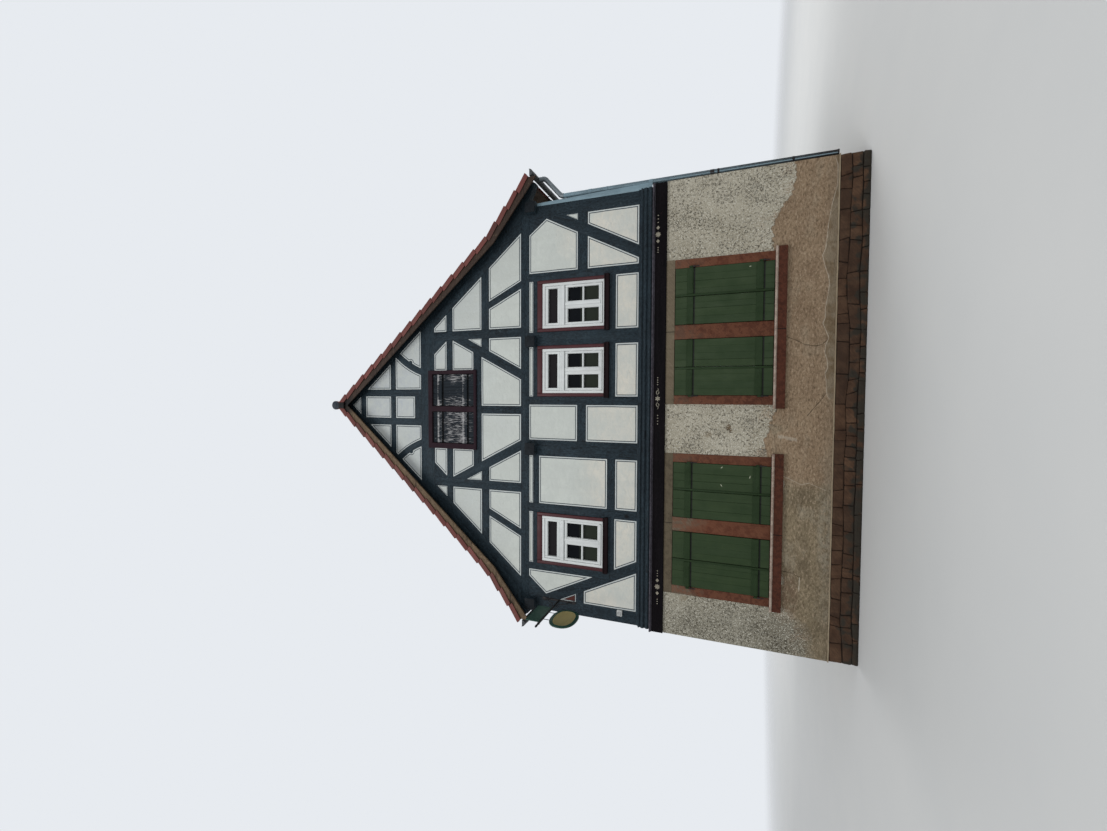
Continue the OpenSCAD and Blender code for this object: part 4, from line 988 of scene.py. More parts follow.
def plaster_fields():
    """A hand-laid plaster plate on each panel, with its painted band and line."""
    piece = welded("plaster_fields", ["infill_panels"])
    outer = {(1, -1): FRONT + BACKSET, (1, 1): BACK - BACKSET,
             (0, -1): LEFT + BACKSET, (0, 1): RIGHT - BACKSET}

    def hidden(face):
        middle = face.calc_center_median()
        return not any(abs(middle[axis] - level) < 0.003 and face.normal[axis] * way > 0.9
                       and middle.z < 9.95 + (axis == 1) for (axis, way), level in outer.items())

    pick(piece, "faces", hidden)
    bpy.ops.mesh.delete(type="FACE")
    mesh = bmesh.from_edit_mesh(piece.data)
    # The strip beside that rail goes
    for z in (7.35, 7.5):
        corner = Vector((0.1, BACK - BACKSET, z))
        face = next(f for f in mesh.faces if any((v.co - corner).length < 0.002 for v in f.verts))
        bmesh.ops.bisect_plane(mesh, geom=[face, *face.edges, *face.verts], plane_co=(0, 0, z),
                               plane_no=(0, 0, 1), dist=1e-3)
    middle = Vector((0.08, BACK - BACKSET, 7.425))
    strips = [f for f in mesh.faces if (f.calc_center_median() - middle).length < 0.01]
    bmesh.ops.delete(mesh, geom=strips, context="FACES")
    # A corner cut short by another timber runs on to its point, out of sight
    for loop in [loop for face in mesh.faces for loop in face.loops]:
        a, b = loop.vert.co, loop.link_loop_next.vert.co
        before, after = loop.link_loop_prev.vert.co, loop.link_loop_next.link_loop_next.vert.co
        if 0.005 < (b - a).length < 0.03 and min((a - before).angle(b - a), (b - a).angle(after - b)) > 0.4:
            point = geometry.intersect_line_line(before, a, after, b)[0]
            if (point - a).length < 0.08:
                a[:] = b[:] = point
    bmesh.update_edit_mesh(piece.data)
    bpy.ops.mesh.select_all(action="SELECT")
    bpy.ops.mesh.remove_doubles(threshold=0.003)
    # Band and line inside each outline, narrower in the small panels, and drawn
    # in short steps round the knobs of the curved braces
    mesh = bmesh.from_edit_mesh(piece.data)
    marks = mesh.faces.layers.int.new("place")
    groups = {}
    for number, face in enumerate(mesh.faces, 1):
        room = 2 * face.calc_area() / face.calc_perimeter()
        size = min(1.0, round(max(0.25, room / 0.13), 1))
        knobbed = min(e.calc_length() for e in face.edges) < 0.012
        groups.setdefault((size, knobbed), set()).add(number)
        face[marks] = number
    bmesh.update_edit_mesh(piece.data)
    for (size, knobbed), members in groups.items():
        pick(piece, "faces", lambda f: f[mesh.faces.layers.int["place"]] in members)
        for part, width in ((1, BAND), (2, LINE)):
            steps = 5 if knobbed else 1
            for _ in range(steps):
                bpy.ops.mesh.inset(thickness=width * size / steps, use_individual=True)
                if knobbed:
                    bpy.ops.mesh.remove_doubles(threshold=0.0035)
            for face in each(piece, "faces"):
                if face.select:
                    face.material_index = part
    # The painted edges wander a little, as a hand draws them
    mesh = bmesh.from_edit_mesh(piece.data)
    for edge in list(mesh.edges):
        start, parts = edge.verts[0], max(1, round(edge.calc_length() / 0.07))
        for left in range(parts, 1, -1):
            start = bmesh.utils.edge_split(edge, start, 1 / left)[1]
    for vert in mesh.verts:
        drift = noise.noise_vector(vert.co * 3.1) * 0.0035 + noise.noise_vector(vert.co * 11.0) * 0.0015
        normal = vert.link_faces[0].normal
        vert.co += drift - normal * drift.dot(normal)
    for face in mesh.faces:
        middle = face.calc_center_median()
        if face.material_index == 2 and abs(middle.y - FRONT) < 0.02 and \
                -3.72 < middle.x < -3.5 and 4.58 < middle.z < 4.86:
            face.material_index = 3
    mesh.faces.layers.int.remove(mesh.faces.layers.int["place"])
    bmesh.update_edit_mesh(piece.data)
    done(piece)
    apply(piece, "SOLIDIFY", thickness=0.0015, offset=1.0)
    return settle(piece, [PLASTER_BAND, PLASTER_LINE, PLASTER, BRICK_RED], "plaster", smooth=25)


plaster_fields()

# Places round the four sides


def facing(side, along, out=0.0, upper=False):
    """The matrix that stands a piece, modelled as if it faced the street from
    y 0, on one side of the house, out in front of its wall."""
    left, right = (LEFT, RIGHT) if upper else (-WALL_X, WALL_X)
    spot, turn = {
        "front": ((along, FRONT - out, 0), 0), "back": ((along, BACK + out, 0), 180),
        "left": ((left - out, along, 0), -90), "right": ((right + out, along, 0), 90),
    }[side]
    return Matrix.Translation(spot) @ Matrix.Rotation(math.radians(turn), 4, "Z")


def lifted(z, depth=0.0):
    return Matrix.Translation((0, depth, z))


# Plinth, ledge and steps

COURSES = ((0.0, 0.095), (0.095, 0.155), (0.25, 0.155))
BLOCK_SIZES = (0.16, 0.22, 0.27, 0.32, 0.39, 0.48)
STEPS_HALF = 0.655


def plinth_block(length, height, seed):
    """One hewn block of the plinth, its back left open."""
    piece = begin("block")
    bpy.ops.mesh.primitive_cube_add(size=1, location=(0, -0.006, height / 2),
                                    scale=(length - 0.008, 0.044, height - 0.008))
    pick(piece, "faces", lambda f: f.normal.y > 0.9)
    bpy.ops.mesh.delete(type="FACE")
    pick(piece, "edges", lambda e: not e.is_boundary and e.calc_face_angle(0) > 1)
    bpy.ops.mesh.bevel(offset=0.014, segments=2, affect="EDGES")
    mesh = bmesh.from_edit_mesh(piece.data)
    keep = max(mesh.faces, key=lambda f: -f.calc_center_median().y * f.calc_area()).index
    pick(piece, "faces", lambda f: f.index == keep)
    bpy.ops.mesh.inset(thickness=min(0.02, height * 0.2))
    bpy.ops.mesh.subdivide(number_cuts=2)
    for vert in each(piece):
        if vert.co.y < -0.012:
            off = noise.noise_vector(vert.co * 9 + Vector((seed * 3.7, 0, seed)))
            vert.co += Vector((off.x * 0.012, off.y * 0.010, off.z * 0.010))
    return done(piece)


def plinth_stones():
    """Three courses of hewn blocks round the house, open where the steps are."""
    models = {(size, row): plinth_block(size, COURSES[row][1], k + 7 * row)
              for k, size in enumerate(BLOCK_SIZES) for row in range(3)}
    pick_from = random.Random(5)
    pieces = []
    for side, reach in (("front", 3.947), ("back", 3.947), ("left", 4.770), ("right", 4.770)):
        gable = side in ("front", "back")
        for row, (foot, _) in enumerate(COURSES):
            runs = [(-reach, -STEPS_HALF), (STEPS_HALF, reach)] if side == "back" else [(-reach, reach)]
            for at, stop in runs:
                while stop - at > 0.01:
                    left = stop - at
                    choices = [s for s in BLOCK_SIZES
                               if s <= left and (left - s < 0.005 or left - s >= 0.16)]
                    length = pick_from.choice(choices) if choices else left
                    size = min(BLOCK_SIZES, key=lambda s: abs(s - length))
                    # Blocks are counted from the left as one looks at each side
                    middle = at + length / 2
                    place = facing(side, middle if side in ("front", "right") else -middle, -0.015)
                    block = twin(models[(size, row)],
                                 place @ lifted(foot) @ Matrix.Diagonal((length / size, 1, 1, 1)))
                    pieces.append(block)
                    # The joints lean and the courses rise and fall
                    for vert in block.data.vertices:
                        x, y, z = vert.co
                        run = abs(x if gable else y)
                        hold = min(1.0, (reach - run) / 0.15)
                        if side == "back":
                            hold *= min(1.0, abs(run - STEPS_HALF) / 0.15)
                        lean = noise.noise(Vector((x * 2.6, y * 2.6, z * 4.5))) * 0.055 * max(0.0, hold)
                        rise = noise.noise(Vector((x * 1.7 + 9, y * 1.7, z * 2))) * 0.05
                        rise *= math.sin(math.pi * min(1.0, max(0.0, z / 0.405)))
                        vert.co = (x + lean * gable, y + lean * (not gable), z + rise)
                    at += length
    drop(*models.values())
    piece = joined("plinth_blocks", pieces)
    return settle(lay_grain(piece), PLINTH_STONE, "plinth_stone", smooth=40)


def render_ledge():
    """The thin edge of the render, run by hand, which drips over the plinth."""
    pieces = []
    for side, reach in (("front", 3.962), ("back", 3.962), ("left", 4.80), ("right", 4.80)):
        for low, high in ((-reach, reach),) if side != "back" else ((-reach, -0.66), (0.66, reach)):
            piece = begin("ledge_run")
            board((low, -0.014, 0.404), (high, 0.009, 0.424), 0.005, 2)
            pick(piece, "edges", lambda e: e.calc_length() > 1)
            bpy.ops.mesh.subdivide(number_cuts=round((high - low) / 0.07))
            for vert in each(piece):
                if vert.co.y < 0:
                    drift = noise.noise_vector(Vector((vert.co.x * 5, reach, vert.co.z * 20)))
                    vert.co += Vector((0, drift.y * 0.004, drift.z * 0.005))
            pieces.append(twin(done(piece), facing(side, 0.0)))
            drop(piece)
    piece = joined("render_ledge", pieces)
    return settle(lay_grain(piece), RENDER_EDGE, "render", smooth=40)


def stone_set(name, source, finish, ease=0.006, **how):
    """Stones of the CAD part with eased edges and a finish of their own."""
    return settle(lay_grain(eased(name, [source], ease, **how)), finish, "sandstone", source)


plinth_stones()
render_ledge()
stone_set("back_door_steps", "door_steps", SILL_STONE, 0.012, corner=40)


# Window stones

stone_set("window_jamb_stones", "stone_jambs", RED_STONE)
stone_set("window_lintel_stones", "stone_lintels", PALE_STONE)


def sill_stones():
    """The sill stones, whose thin nose is a paler stone."""
    def nose(face):
        x, y, z = face.center
        return z > 1.244 and (abs(y) > 4.855 or abs(x) > 4.005)

    piece = stone_set("window_sill_stones", "stone_sills", [SILL_STONE, SILL_NOSE],
                      corner=25, shortest=0.006)
    return refinish(piece, 1, nose)


def stone_joints():
    """Thin mortar joints between the stones of the two window pairs."""
    piece = begin("stone_joints")
    for x in PAIR_X:
        board((x + 0.006, FRONT - 0.0212, LINTEL_Z + 0.004), (x + 0.015, FRONT - 0.01, 2.994), 0.0008)
        board((x - 0.026, FRONT - 0.0612, 1.114), (x - 0.013, FRONT - 0.05, 1.246), 0.0008)
        board((x - 0.022, FRONT - 0.0858, 1.256), (x - 0.017, FRONT - 0.07, 1.276), 0.0006)
    return settle(lay_grain(done(piece)), JOINT_DARK, "sandstone")


sill_stones()
stone_joints()


# Windows

UPPER_SIZE, GROUND_SIZE = (1.223, 0.0695), (1.5, 0.0595)


def window_model(width, height, deep):
    """A window with a top light over two leaves. It faces the street from y 0,
    and stands on z 0 about the middle of its width."""
    piece = begin("window_model")
    half, lift = width / 2, height - UPPER_SIZE[0]
    head, foot, side = height - 0.050, 0.036, half - 0.052
    for way in (-1, 1):
        low, high = sorted((way * half, way * side))
        board((low, 0, 0), (high, deep, height), 0.004)
        low, high = sorted((way * (side - 0.003), way * (side - 0.046)))
        board((low, 0.012, 0.869 + lift), (high, deep, head - 0.003), 0.004)
        board((low, 0.012, 0.074), (high, deep, 0.767 + lift), 0.004)
        for z in (0.16, 0.62 + lift):
            upright(way * (side - 0.001), 0.006, z, z + 0.055, 0.0065, 0.002, 8)
    inner = side - 0.046
    board((-side, 0.001, head), (side, deep, height - 0.0005), 0.004)
    board((-side, 0.001, 0), (side, deep, foot), 0.004)
    # Top light, ledge and transom
    board((-inner, 0.013, 1.112 + lift), (inner, deep, head - 0.003), 0.005)
    board((-inner, 0.013, 0.869 + lift), (inner, deep, 0.921 + lift), 0.005)
    board((-side, 0.003, 0.829 + lift), (side, deep, 0.866 + lift), 0.006, 2)
    board((-side, -0.007, 0.773 + lift), (side, deep, 0.829 + lift), 0.010, 3)
    # The two leaves with their bars, cover strip and weather bar
    board((-0.070, 0.012, 0.074), (-0.005, deep, 0.767 + lift), 0.004)
    board((0.0, 0.012, 0.074), (0.068, deep, 0.767 + lift), 0.004)
    board((-0.008, 0.000, 0.078), (0.050, 0.0125, 0.764 + lift), 0.005, 2)
    bars = 1 if height < 1.3 else 2
    for low, high in ((-inner, -0.070), (0.068, inner)):
        board((low, 0.013, 0.717 + lift), (high, deep, 0.766 + lift), 0.005)
        board((low, 0.013, 0.075), (high, deep, 0.113), 0.005)
        for k in range(bars):
            z = 0.113 + (0.604 + lift) * (k + 1) / (bars + 1)
            board((low, 0.018, z - 0.016), (high, deep - 0.008, z + 0.016), 0.006)
    board((-side + 0.006, -0.010, 0.040), (side - 0.006, 0.030, 0.071), 0.008, 2)
    return lay_grain(done(piece))


def copied(name, spots, make):
    """Pieces copied to their spots from models that are made once for each size."""
    pieces, models = [], {}
    for size, place in spots:
        if size not in models:
            models[size] = make(*size)
        pieces.append(twin(models[size], place))
    drop(*models.values())
    return joined(name, pieces)


def upper_bays():
    """The width and the middle of each bay with a window in the timber walls."""
    return [(high - low, facing(side, (low + high) / 2)) for low, high in FRONT_BAYS
            for side in ("front", "back")] + [
        (SIDE_STEP - 0.16, facing(side, (k - 3.5) * SIDE_STEP, upper=True))
        for k in SIDE_BAYS for side in ("left", "right")]


def windows():
    """All windows, each modelled once for its width and copied round the house."""
    spots = [((round(width - 0.124, 4), *UPPER_SIZE), place @ lifted(4.105, -0.014))
             for width, place in upper_bays()]
    low = [facing("front", x + way * 0.6025) for x in PAIR_X for way in (-1, 1)]
    low += [facing(side, y) for y in SIDE_WINDOW_Y for side in ("left", "right")]
    low += [facing("back", x) for x in BACK_WINDOW_X]
    spots += [((0.895, *GROUND_SIZE), place @ lifted(1.32, 0.12)) for place in low]
    piece = copied("window_joinery", spots, window_model)
    return settle(piece, WHITE_PAINT, "window_paint", "window_frames")


def casing_model(width):
    """A red casing with a raised field on its boards and a sill below it. It
    faces the street from y 0, about the middle of its bay."""
    piece = begin("casing_model")
    for finish in (CASING_RED, CASING_SILL):
        piece.data.materials.append(finish)
    half = width / 2 - 0.0005
    low, high = CASING
    for way in (-1, 1):
        near, far = sorted((way * half, way * (half - 0.062)))
        board((near, -0.024, low), (far, 0.076, high), 0.004)
    board((-half + 0.062, -0.0235, high - 0.102), (half - 0.062, 0.076, high), 0.004)
    board((-half + 0.062, -0.0235, low), (half - 0.062, 0.076, low + 0.025), 0.004)
    pick(piece, "faces", lambda f: f.normal.y < -0.95 and f.calc_area() > 0.03
         and f.calc_center_median().z > low + 0.03)
    bpy.ops.mesh.inset(thickness=0.010, depth=0.004, use_individual=True)
    # Sill board with a rounded nose, and the strip it carries
    board((-half - 0.025, -0.062, low - 0.070), (half + 0.025, -0.0005, low - 0.001), 0.010, 3)
    board((-half - 0.020, -0.072, low - 0.006), (half + 0.020, -0.024, low + 0.022), 0.008, 3)
    # The sill board and its strip take the darker sill finish, a painted shade
    for face in each(piece, "faces"):
        middle = face.calc_center_median()
        face.material_index = int(middle.z < low or middle.y < -0.03)
    return lay_grain(done(piece))


def casings():
    """The casings of all upper windows, modelled once for each bay width."""
    spots = [((round(width, 4),), place) for width, place in upper_bays()]
    piece = copied("window_casing_boards", spots, casing_model)
    return settle(piece, [CASING_RED, CASING_SILL], "casing_paint", "window_casings")


windows()
casings()


# Back door


def back_door_leaf():
    """The panelled back door with raised fields and a handle."""
    piece = eased("back_door_leaf", ["back_door"], 0.004, corner=40)
    bpy.ops.object.mode_set(mode="EDIT")
    pick(piece, "faces", lambda f: f.normal.y > 0.9 and f.calc_area() > 0.03
         and abs(f.calc_center_median().y - (BACK - 0.126)) < 0.004)
    bpy.ops.mesh.inset(thickness=0.035, use_individual=True)
    bpy.ops.mesh.inset(thickness=0.022, depth=0.010, use_individual=True)
    done(piece)
    handle = begin("back_door_handle")
    board((0.33, BACK - 0.112, 1.36), (0.37, BACK - 0.104, 1.56), 0.003)
    bar_round((0.35, BACK - 0.106, 1.48), (0.35, BACK - 0.060, 1.48), 0.009, 0.001, 10)
    bar_round((0.358, BACK - 0.062, 1.48), (0.240, BACK - 0.062, 1.48), 0.009, 0.004, 10)
    settle(lay_grain(done(handle)), IRON, "iron")
    return settle(lay_grain(piece, 2), DOOR_GREEN, "door_paint", "back_door")


back_door_leaf()


# Loft hatch


def hatch():
    """The hatch frame, and its leaves of old boards with two battens each."""
    frame_piece = lay_grain(eased("loft_hatch_frame", ["hatch_frame"], 0.006))
    settle(frame_piece, HATCH_MAROON, "casing_paint", "hatch_frame")
    leaves = begin("loft_hatch_leaves")
    for low, high in ((-0.73, -0.07), (0.04, 0.71)):
        width = (high - low - 0.012) / 5
        for k in range(5):
            x = low + 0.006 + k * width
            drift = chance.uniform(-0.0015, 0.0015)
            board((x + 0.0015, FRONT - 0.002 + drift, 6.840),
                  (x + width - 0.0015, FRONT + 0.020, 7.830), 0.004)
        for z in HATCH_BATTENS:
            board((low + 0.010, FRONT - 0.032, z),
                  (high - 0.010, FRONT - 0.0005, z + HATCH_BATTEN_TALL), 0.006, 2)
            for k in range(10):
                x = low + 0.006 + (k // 2 + 0.5) * width
                dome((x, FRONT - 0.032, z + (0.028, 0.078)[k % 2]), 0.006, 0.4)
    for face in each(leaves, "faces"):
        face.material_index = int(min(v.co.y for v in face.verts) < FRONT - 0.006)
    return settle(lay_grain(done(leaves)), [FLAKING, FLAKED_BATTEN], "hatch_wood", "hatch_leaves")


hatch()


# Jetty board


def jetty():
    """The long board under the jetty: black, with a paler roll along its top."""
    piece = lay_grain(eased("jetty_long_board", ["jetty_board"], 0.003, corner=25, shortest=0.008), 0)
    settle(piece, [BOARD_BLACK, BOARD_ROLL], "board_paint", "jetty_board")
    return refinish(piece, 1, lambda f: f.center.z > 3.199)


ORNAMENT_Y = FRONT - 0.038
LOZENGES = {3.098: (-3.43, -3.39, -3.35), 3.10: (-2.93, -2.885, -2.84), 3.125: (-0.23, -0.18, -0.13, -0.08),
            3.13: (0.46, 0.50, 0.54, 0.58), 3.148: (2.75, 2.79, 2.83), 3.15: (3.26, 3.32, 3.38)}
LEAF_X = 0.215


def lozenge(x, z, wide, tall, deep=0.003):
    """A flat four-cornered ornament with a bevelled rim."""
    select_none()
    bpy.ops.mesh.primitive_cylinder_add(
        vertices=4, radius=1, depth=1, location=(x, ORNAMENT_Y - deep / 2, z),
        rotation=(math.pi / 2, 0, 0), scale=(wide, tall, deep))
    bpy.ops.mesh.bevel(offset=0.0012, segments=1, affect="EDGES")


def petals(x, z, radius, count, wide):
    """A flower of flat petals round a small knob."""
    reach = radius * 0.58
    for k in range(count):
        turn = math.tau * k / count
        select_none()
        bpy.ops.mesh.primitive_uv_sphere_add(
            segments=8, ring_count=6, radius=1, rotation=(0, -turn, 0), scale=(radius * 0.42, 0.0024, wide),
            location=(x + reach * math.cos(turn), FRONT - 0.039, z + reach * math.sin(turn)))
    dome((x, FRONT - 0.040, z), radius * 0.24, 0.3)


def stroke(points, wide):
    """A painted stroke: a flat swelling ribbon through points, as reach and height."""
    select_none()
    mesh = bmesh.from_edit_mesh(bpy.context.object.data)
    rows, count = [], 4 * (len(points) - 1)
    for k in range(count + 1):
        i = min(k // 4, len(points) - 2)
        part = k / 4 - i
        a, b, c, d = [Vector(points[max(0, min(len(points) - 1, i + n))]) for n in (-1, 0, 1, 2)]
        spot = 0.5 * (2 * b + (c - a) * part + (2 * a - 5 * b + 4 * c - d) * part ** 2
                      + (3 * b - a - 3 * c + d) * part ** 3)
        ahead = (c - a) * (1 - part) + (d - b) * part
        across = Vector((-ahead.y, ahead.x)).normalized() * wide * (0.25 + math.sin(math.pi * k / count))
        ribbon = ((spot - across, 0), (spot - across * 0.5, 0.003),
                  (spot + across * 0.5, 0.003), (spot + across, 0))
        rows.append([mesh.verts.new((p.x, ORNAMENT_Y - out, p.y)) for p, out in ribbon])
    for one, two in zip(rows, rows[1:]):
        for j in range(3):
            mesh.faces.new((one[j], two[j], two[j + 1], one[j + 1]))
    bmesh.update_edit_mesh(bpy.context.object.data)


def ornaments():
    """Plain painted ornaments along the jetty board."""
    piece = begin("board_ornaments")
    for z, row in LOZENGES.items():
        for x in row:
            lozenge(x, z, 0.011, 0.013)
    for middle, z in ((-3.125, 3.10), (3.055, 3.15)):
        for way in (-1, 1):
            lozenge(middle + way * 0.115, z, 0.034, 0.030)
        petals(middle, z, 0.048, 8, 0.011)
    petals(LEAF_X, 3.128, 0.045, 6, 0.012)
    for way in (-1, 1):
        for points, wide in (
                (((0.055, 3.118), (0.09, 3.150), (0.13, 3.142), (0.15, 3.118), (0.19, 3.128)), 0.006),
                (((0.07, 3.142), (0.10, 3.108), (0.14, 3.112)), 0.005)):
            stroke([(LEAF_X + way * reach, z) for reach, z in points], wide)
    weld(done(piece), 1e-5)
    return settle(lay_grain(piece), ORNAMENT, "board_paint")


def edge_boards():
    """Plain boards over the edge of the upper floor, on the sides and the back."""
    piece = begin("floor_edge_boards")
    for side, reach in (("left", 4.798), ("right", 4.798), ("back", 3.87)):
        for k in range(3):
            low, high = (-reach + 2 * reach * n / 3 for n in (k, k + 1))
            placed_board(piece, facing(side, 0.0, upper=True), (low + 0.001, -0.020, 3.004),
                         (high - 0.001, -0.001, 3.236), 0.004)
    return settle(lay_grain(done(piece)), BOARD_BLACK, "board_paint")


jetty()
ornaments()
edge_boards()


def cable_box():
    """The small white box on the corner post, with its lid."""
    piece = eased("cable_box", ["junction_box"], 0.006)
    lid = begin("lid")
    low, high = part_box("junction_box")
    board((low[0] + 0.004, FRONT - 0.045, low[2] + 0.004),
          (high[0] - 0.004, FRONT - 0.040, high[2] - 0.004), 0.002)
    for x in (low[0] + 0.014, high[0] - 0.014):
        for z in (low[2] + 0.014, high[2] - 0.014):
            dome((x, FRONT - 0.0455, z), 0.004, 0.4)
    piece = joined("cable_box", [piece, done(lid)])
    return settle(lay_grain(piece), BOX_WHITE, "box_plastic", "junction_box")


cable_box()

# Bifold shutters. Each leaf is drawn as the left one of its pair: u runs from
# the hinge edge over the window, y 0 is the back of the leaf.

LEAF_LOW, LEAF_HIGH, LEAF_DEEP = SILL_TOP + 0.008, SILL_TOP + 1.560, 0.030
HINGE_Z = (LEAF_LOW + 0.200, LEAF_HIGH - 0.260)
BATTEN_TALL, BATTEN_DEEP = (0.110, 0.105), 0.022
FOLD_U, FOLD_Y = 0.487, 0.008
PIN_U, PIN_Y = -0.008, -0.066

# Where the joints of the boards stand open, by leaf
OPEN_JOINTS = {
    1: ((0.275,), ()), 2: ((0.185, 0.315), (0.635, 0.815)), 3: ((), (0.61,)), 4: ((0.23,), (0.69,))
}


def tube(foot, height, outer, inner, sides=14):
    """A short upright tube in edit mode."""
    select_none()
    bpy.ops.mesh.primitive_circle_add(vertices=sides, radius=outer, fill_type="NGON", location=foot)
    bpy.ops.mesh.inset(thickness=outer - inner)
    bpy.ops.mesh.delete(type="ONLY_FACE")
    for face in each(bpy.context.object, "faces"):
        if len(face.verts) == 4 and (face.calc_center_median().xy - Vector(foot[:2])).length < outer \
                and all(abs(v.co.z - foot[2]) < 1e-6 for v in face.verts):
            face.select_set(True)
    bpy.ops.mesh.extrude_region_move(TRANSFORM_OT_translate={"value": (0, 0, height)})


def leaf_boards(low, high, joints):
    """The upright boards of a leaf. Open joints are deeper than painted ones."""
    cuts = [low, *sorted(joints), high]
    edges = []
    for a, b in zip(cuts, cuts[1:]):
        parts = max(1, round((b - a) / 0.125))
        edges += [(a + (b - a) * k / parts, k == 0) for k in range(parts)]
    edges.append((high, True))
    for (a, wide), (b, next_wide) in zip(edges, edges[1:]):
        left, right = (0.0012 if a > low and wide else 0.0), (0.0012 if b < high and next_wide else 0.0)
        drift = chance.uniform(-0.0006, 0.0006)
        board((a + left, -LEAF_DEEP + drift, LEAF_LOW), (b - right, 0, LEAF_HIGH + min(0.0, drift)),
              0.0022 if wide or next_wide else 0.0012)


def nails(spots, out, radius):
    for u, z in spots:
        dome((u, -out, z), radius, 0.4, sides=6)


def batten(first, last, hinge, columns, rows):
    """One batten over the boards at the height of a hinge, with its nails."""
    low, tall = HINGE_Z[hinge] - 0.040, BATTEN_TALL[hinge]
    board((first, -LEAF_DEEP - BATTEN_DEEP, low), (last, -LEAF_DEEP - 0.0002, low + tall), 0.007)
    nails([(u, low + tall * v) for u in columns for v in rows], LEAF_DEEP + BATTEN_DEEP, 0.004)


def outer_leaf(joints):
    """Outer leaf with its cover strip, battens, straps and knuckles."""
    first, last = 0.005, FOLD_U - 0.004
    wood = begin("outer_leaf")
    leaf_boards(first, last, joints)
    done(wood, GREEN)
    battens = begin("battens")
    board((last - 0.036, -LEAF_DEEP - 0.014, LEAF_LOW + 0.001),
          (last, -LEAF_DEEP, LEAF_HIGH - 0.001), 0.006, 2)
    for hinge, z in enumerate(HINGE_Z):
        batten(first, last - 0.037, hinge, (0.06, 0.14, 0.22, 0.30, 0.38), (0.82,))
        board((PIN_U, -0.058, z - 0.022), (0.352, -0.052, z + 0.022), 0.0018)
        bar_round((0.352, -0.0575, z), (0.352, -0.0522, z), 0.0245, 0.0015, 16)
        nails([(u, z) for u in (0.045, 0.15, 0.25, 0.352)], 0.058, 0.006)
        tube((PIN_U, PIN_Y, z - 0.025), 0.050, 0.0138, 0.0088)
    done(battens, GREEN_BATTEN)
    iron = begin("iron")
    for z in HINGE_Z:
        board((FOLD_U - 0.070, 0.0002, z - 0.025), (FOLD_U, 0.004, z + 0.025), 0.0008)
        tube((FOLD_U, FOLD_Y, z - 0.025), 0.050, 0.0078, 0.0052, 12)
        for u in (FOLD_U - 0.055, FOLD_U - 0.025):
            dome((u, 0.004, z), 0.004, 0.3, (0, 1, 0), 4, 6)
    return joined("outer_leaf", [wood, battens, done(iron, IRON)])


def inner_leaf(joints):
    """Inner leaf with its battens, and the pins that the outer leaf turns on."""
    first, last = FOLD_U + 0.004, CLEAR_W - 0.010
    wood = begin("inner_leaf")
    leaf_boards(first, last, joints)
    done(wood, GREEN)
    battens = begin("battens")
    for hinge in (0, 1):
        batten(first + 0.001, last, hinge, (0.56, 0.66, 0.76, 0.88), (0.2, 0.8))
    done(battens, GREEN_BATTEN)
    iron = begin("iron")
    for z in HINGE_Z:
        upright(FOLD_U, FOLD_Y, z - 0.060, z + 0.060, 0.004, 0.0008, 10)
        for low in (z - 0.060, z + 0.030):
            board((FOLD_U, 0.0002, low), (FOLD_U + 0.070, 0.004, low + 0.030), 0.0008)
            upright(FOLD_U, FOLD_Y, low, low + 0.030, 0.0078, 0.001, 12)
            dome((FOLD_U + 0.05, 0.004, low + 0.015), 0.004, 0.3, (0, 1, 0), 4, 6)
    return joined("inner_leaf", [wood, battens, done(iron, IRON)])


def shutters():
    """The four bifold shutters, each leaf riding on its own body."""
    for number, (outer_joints, inner_joints) in OPEN_JOINTS.items():
        way = -1 if number % 2 else 1
        x = PAIR_X[(number - 1) // 2] + way * (MULLION_W / 2 + CLEAR_W)
        place = Matrix.Translation((x, FRONT, 0)) @ Matrix.Diagonal((-way, 1, 1, 1))
        for part, make, joints in (("outer", outer_leaf, outer_joints), ("inner", inner_leaf, inner_joints)):
            model = make(joints)
            name = f"shutter_{number}_{part}"
            piece = twin(model, place, name + "_boards")
            drop(model)
            settle(lay_grain(piece), [GREEN, GREEN_BATTEN, IRON], "shutter_paint", name,
                   body=name + "_leaf", smooth=35)


def pintle_legs():
    """The foot of each pintle, which hangs down below its arm."""
    piece = begin("pintle_legs")
    for middle in PAIR_X:
        for way in (-1, 1):
            x = middle + way * (MULLION_W / 2 + CLEAR_W - PIN_U)
            for z in HINGE_Z:
                upright(x, FRONT + PIN_Y, z - 0.136, z - 0.058, 0.0075, 0.002, 10)
    return settle(done(piece), IRON, "iron", smooth=35)


shutters()
pintle_legs()

# Roof covering. A slope runs down from the ridge and kicks out near its foot.

TILE_CROSS = (
    (0.000, -0.024), (0.010, -0.010), (0.024, -0.003), (0.038, -0.010), (0.050, -0.026),
    (0.088, -0.028), (0.104, -0.018), (0.120, -0.015), (0.136, -0.018), (0.152, -0.028),
    (0.196, -0.028), (0.206, -0.024)
)
TILE_WIDE = 10.1 / 49


def slope_point(side, up):
    """The place on the tile line, as run from the ridge and height, that lies a
    given way up from the eave."""
    end = EAVE_RUN[side]
    foot_len = (end - KICK_RUN) / math.cos(KICK_PITCH)
    if up < foot_len:
        run = end - up * math.cos(KICK_PITCH)
        return run, RIDGE_Z - KICK_RUN * math.tan(PITCH) - (run - KICK_RUN) * math.tan(KICK_PITCH)
    run = KICK_RUN - (up - foot_len) * math.cos(PITCH)
    return run, RIDGE_Z - run * math.tan(PITCH)


def slope_length(side):
    return (EAVE_RUN[side] - KICK_RUN) / math.cos(KICK_PITCH) + KICK_RUN / math.cos(PITCH)


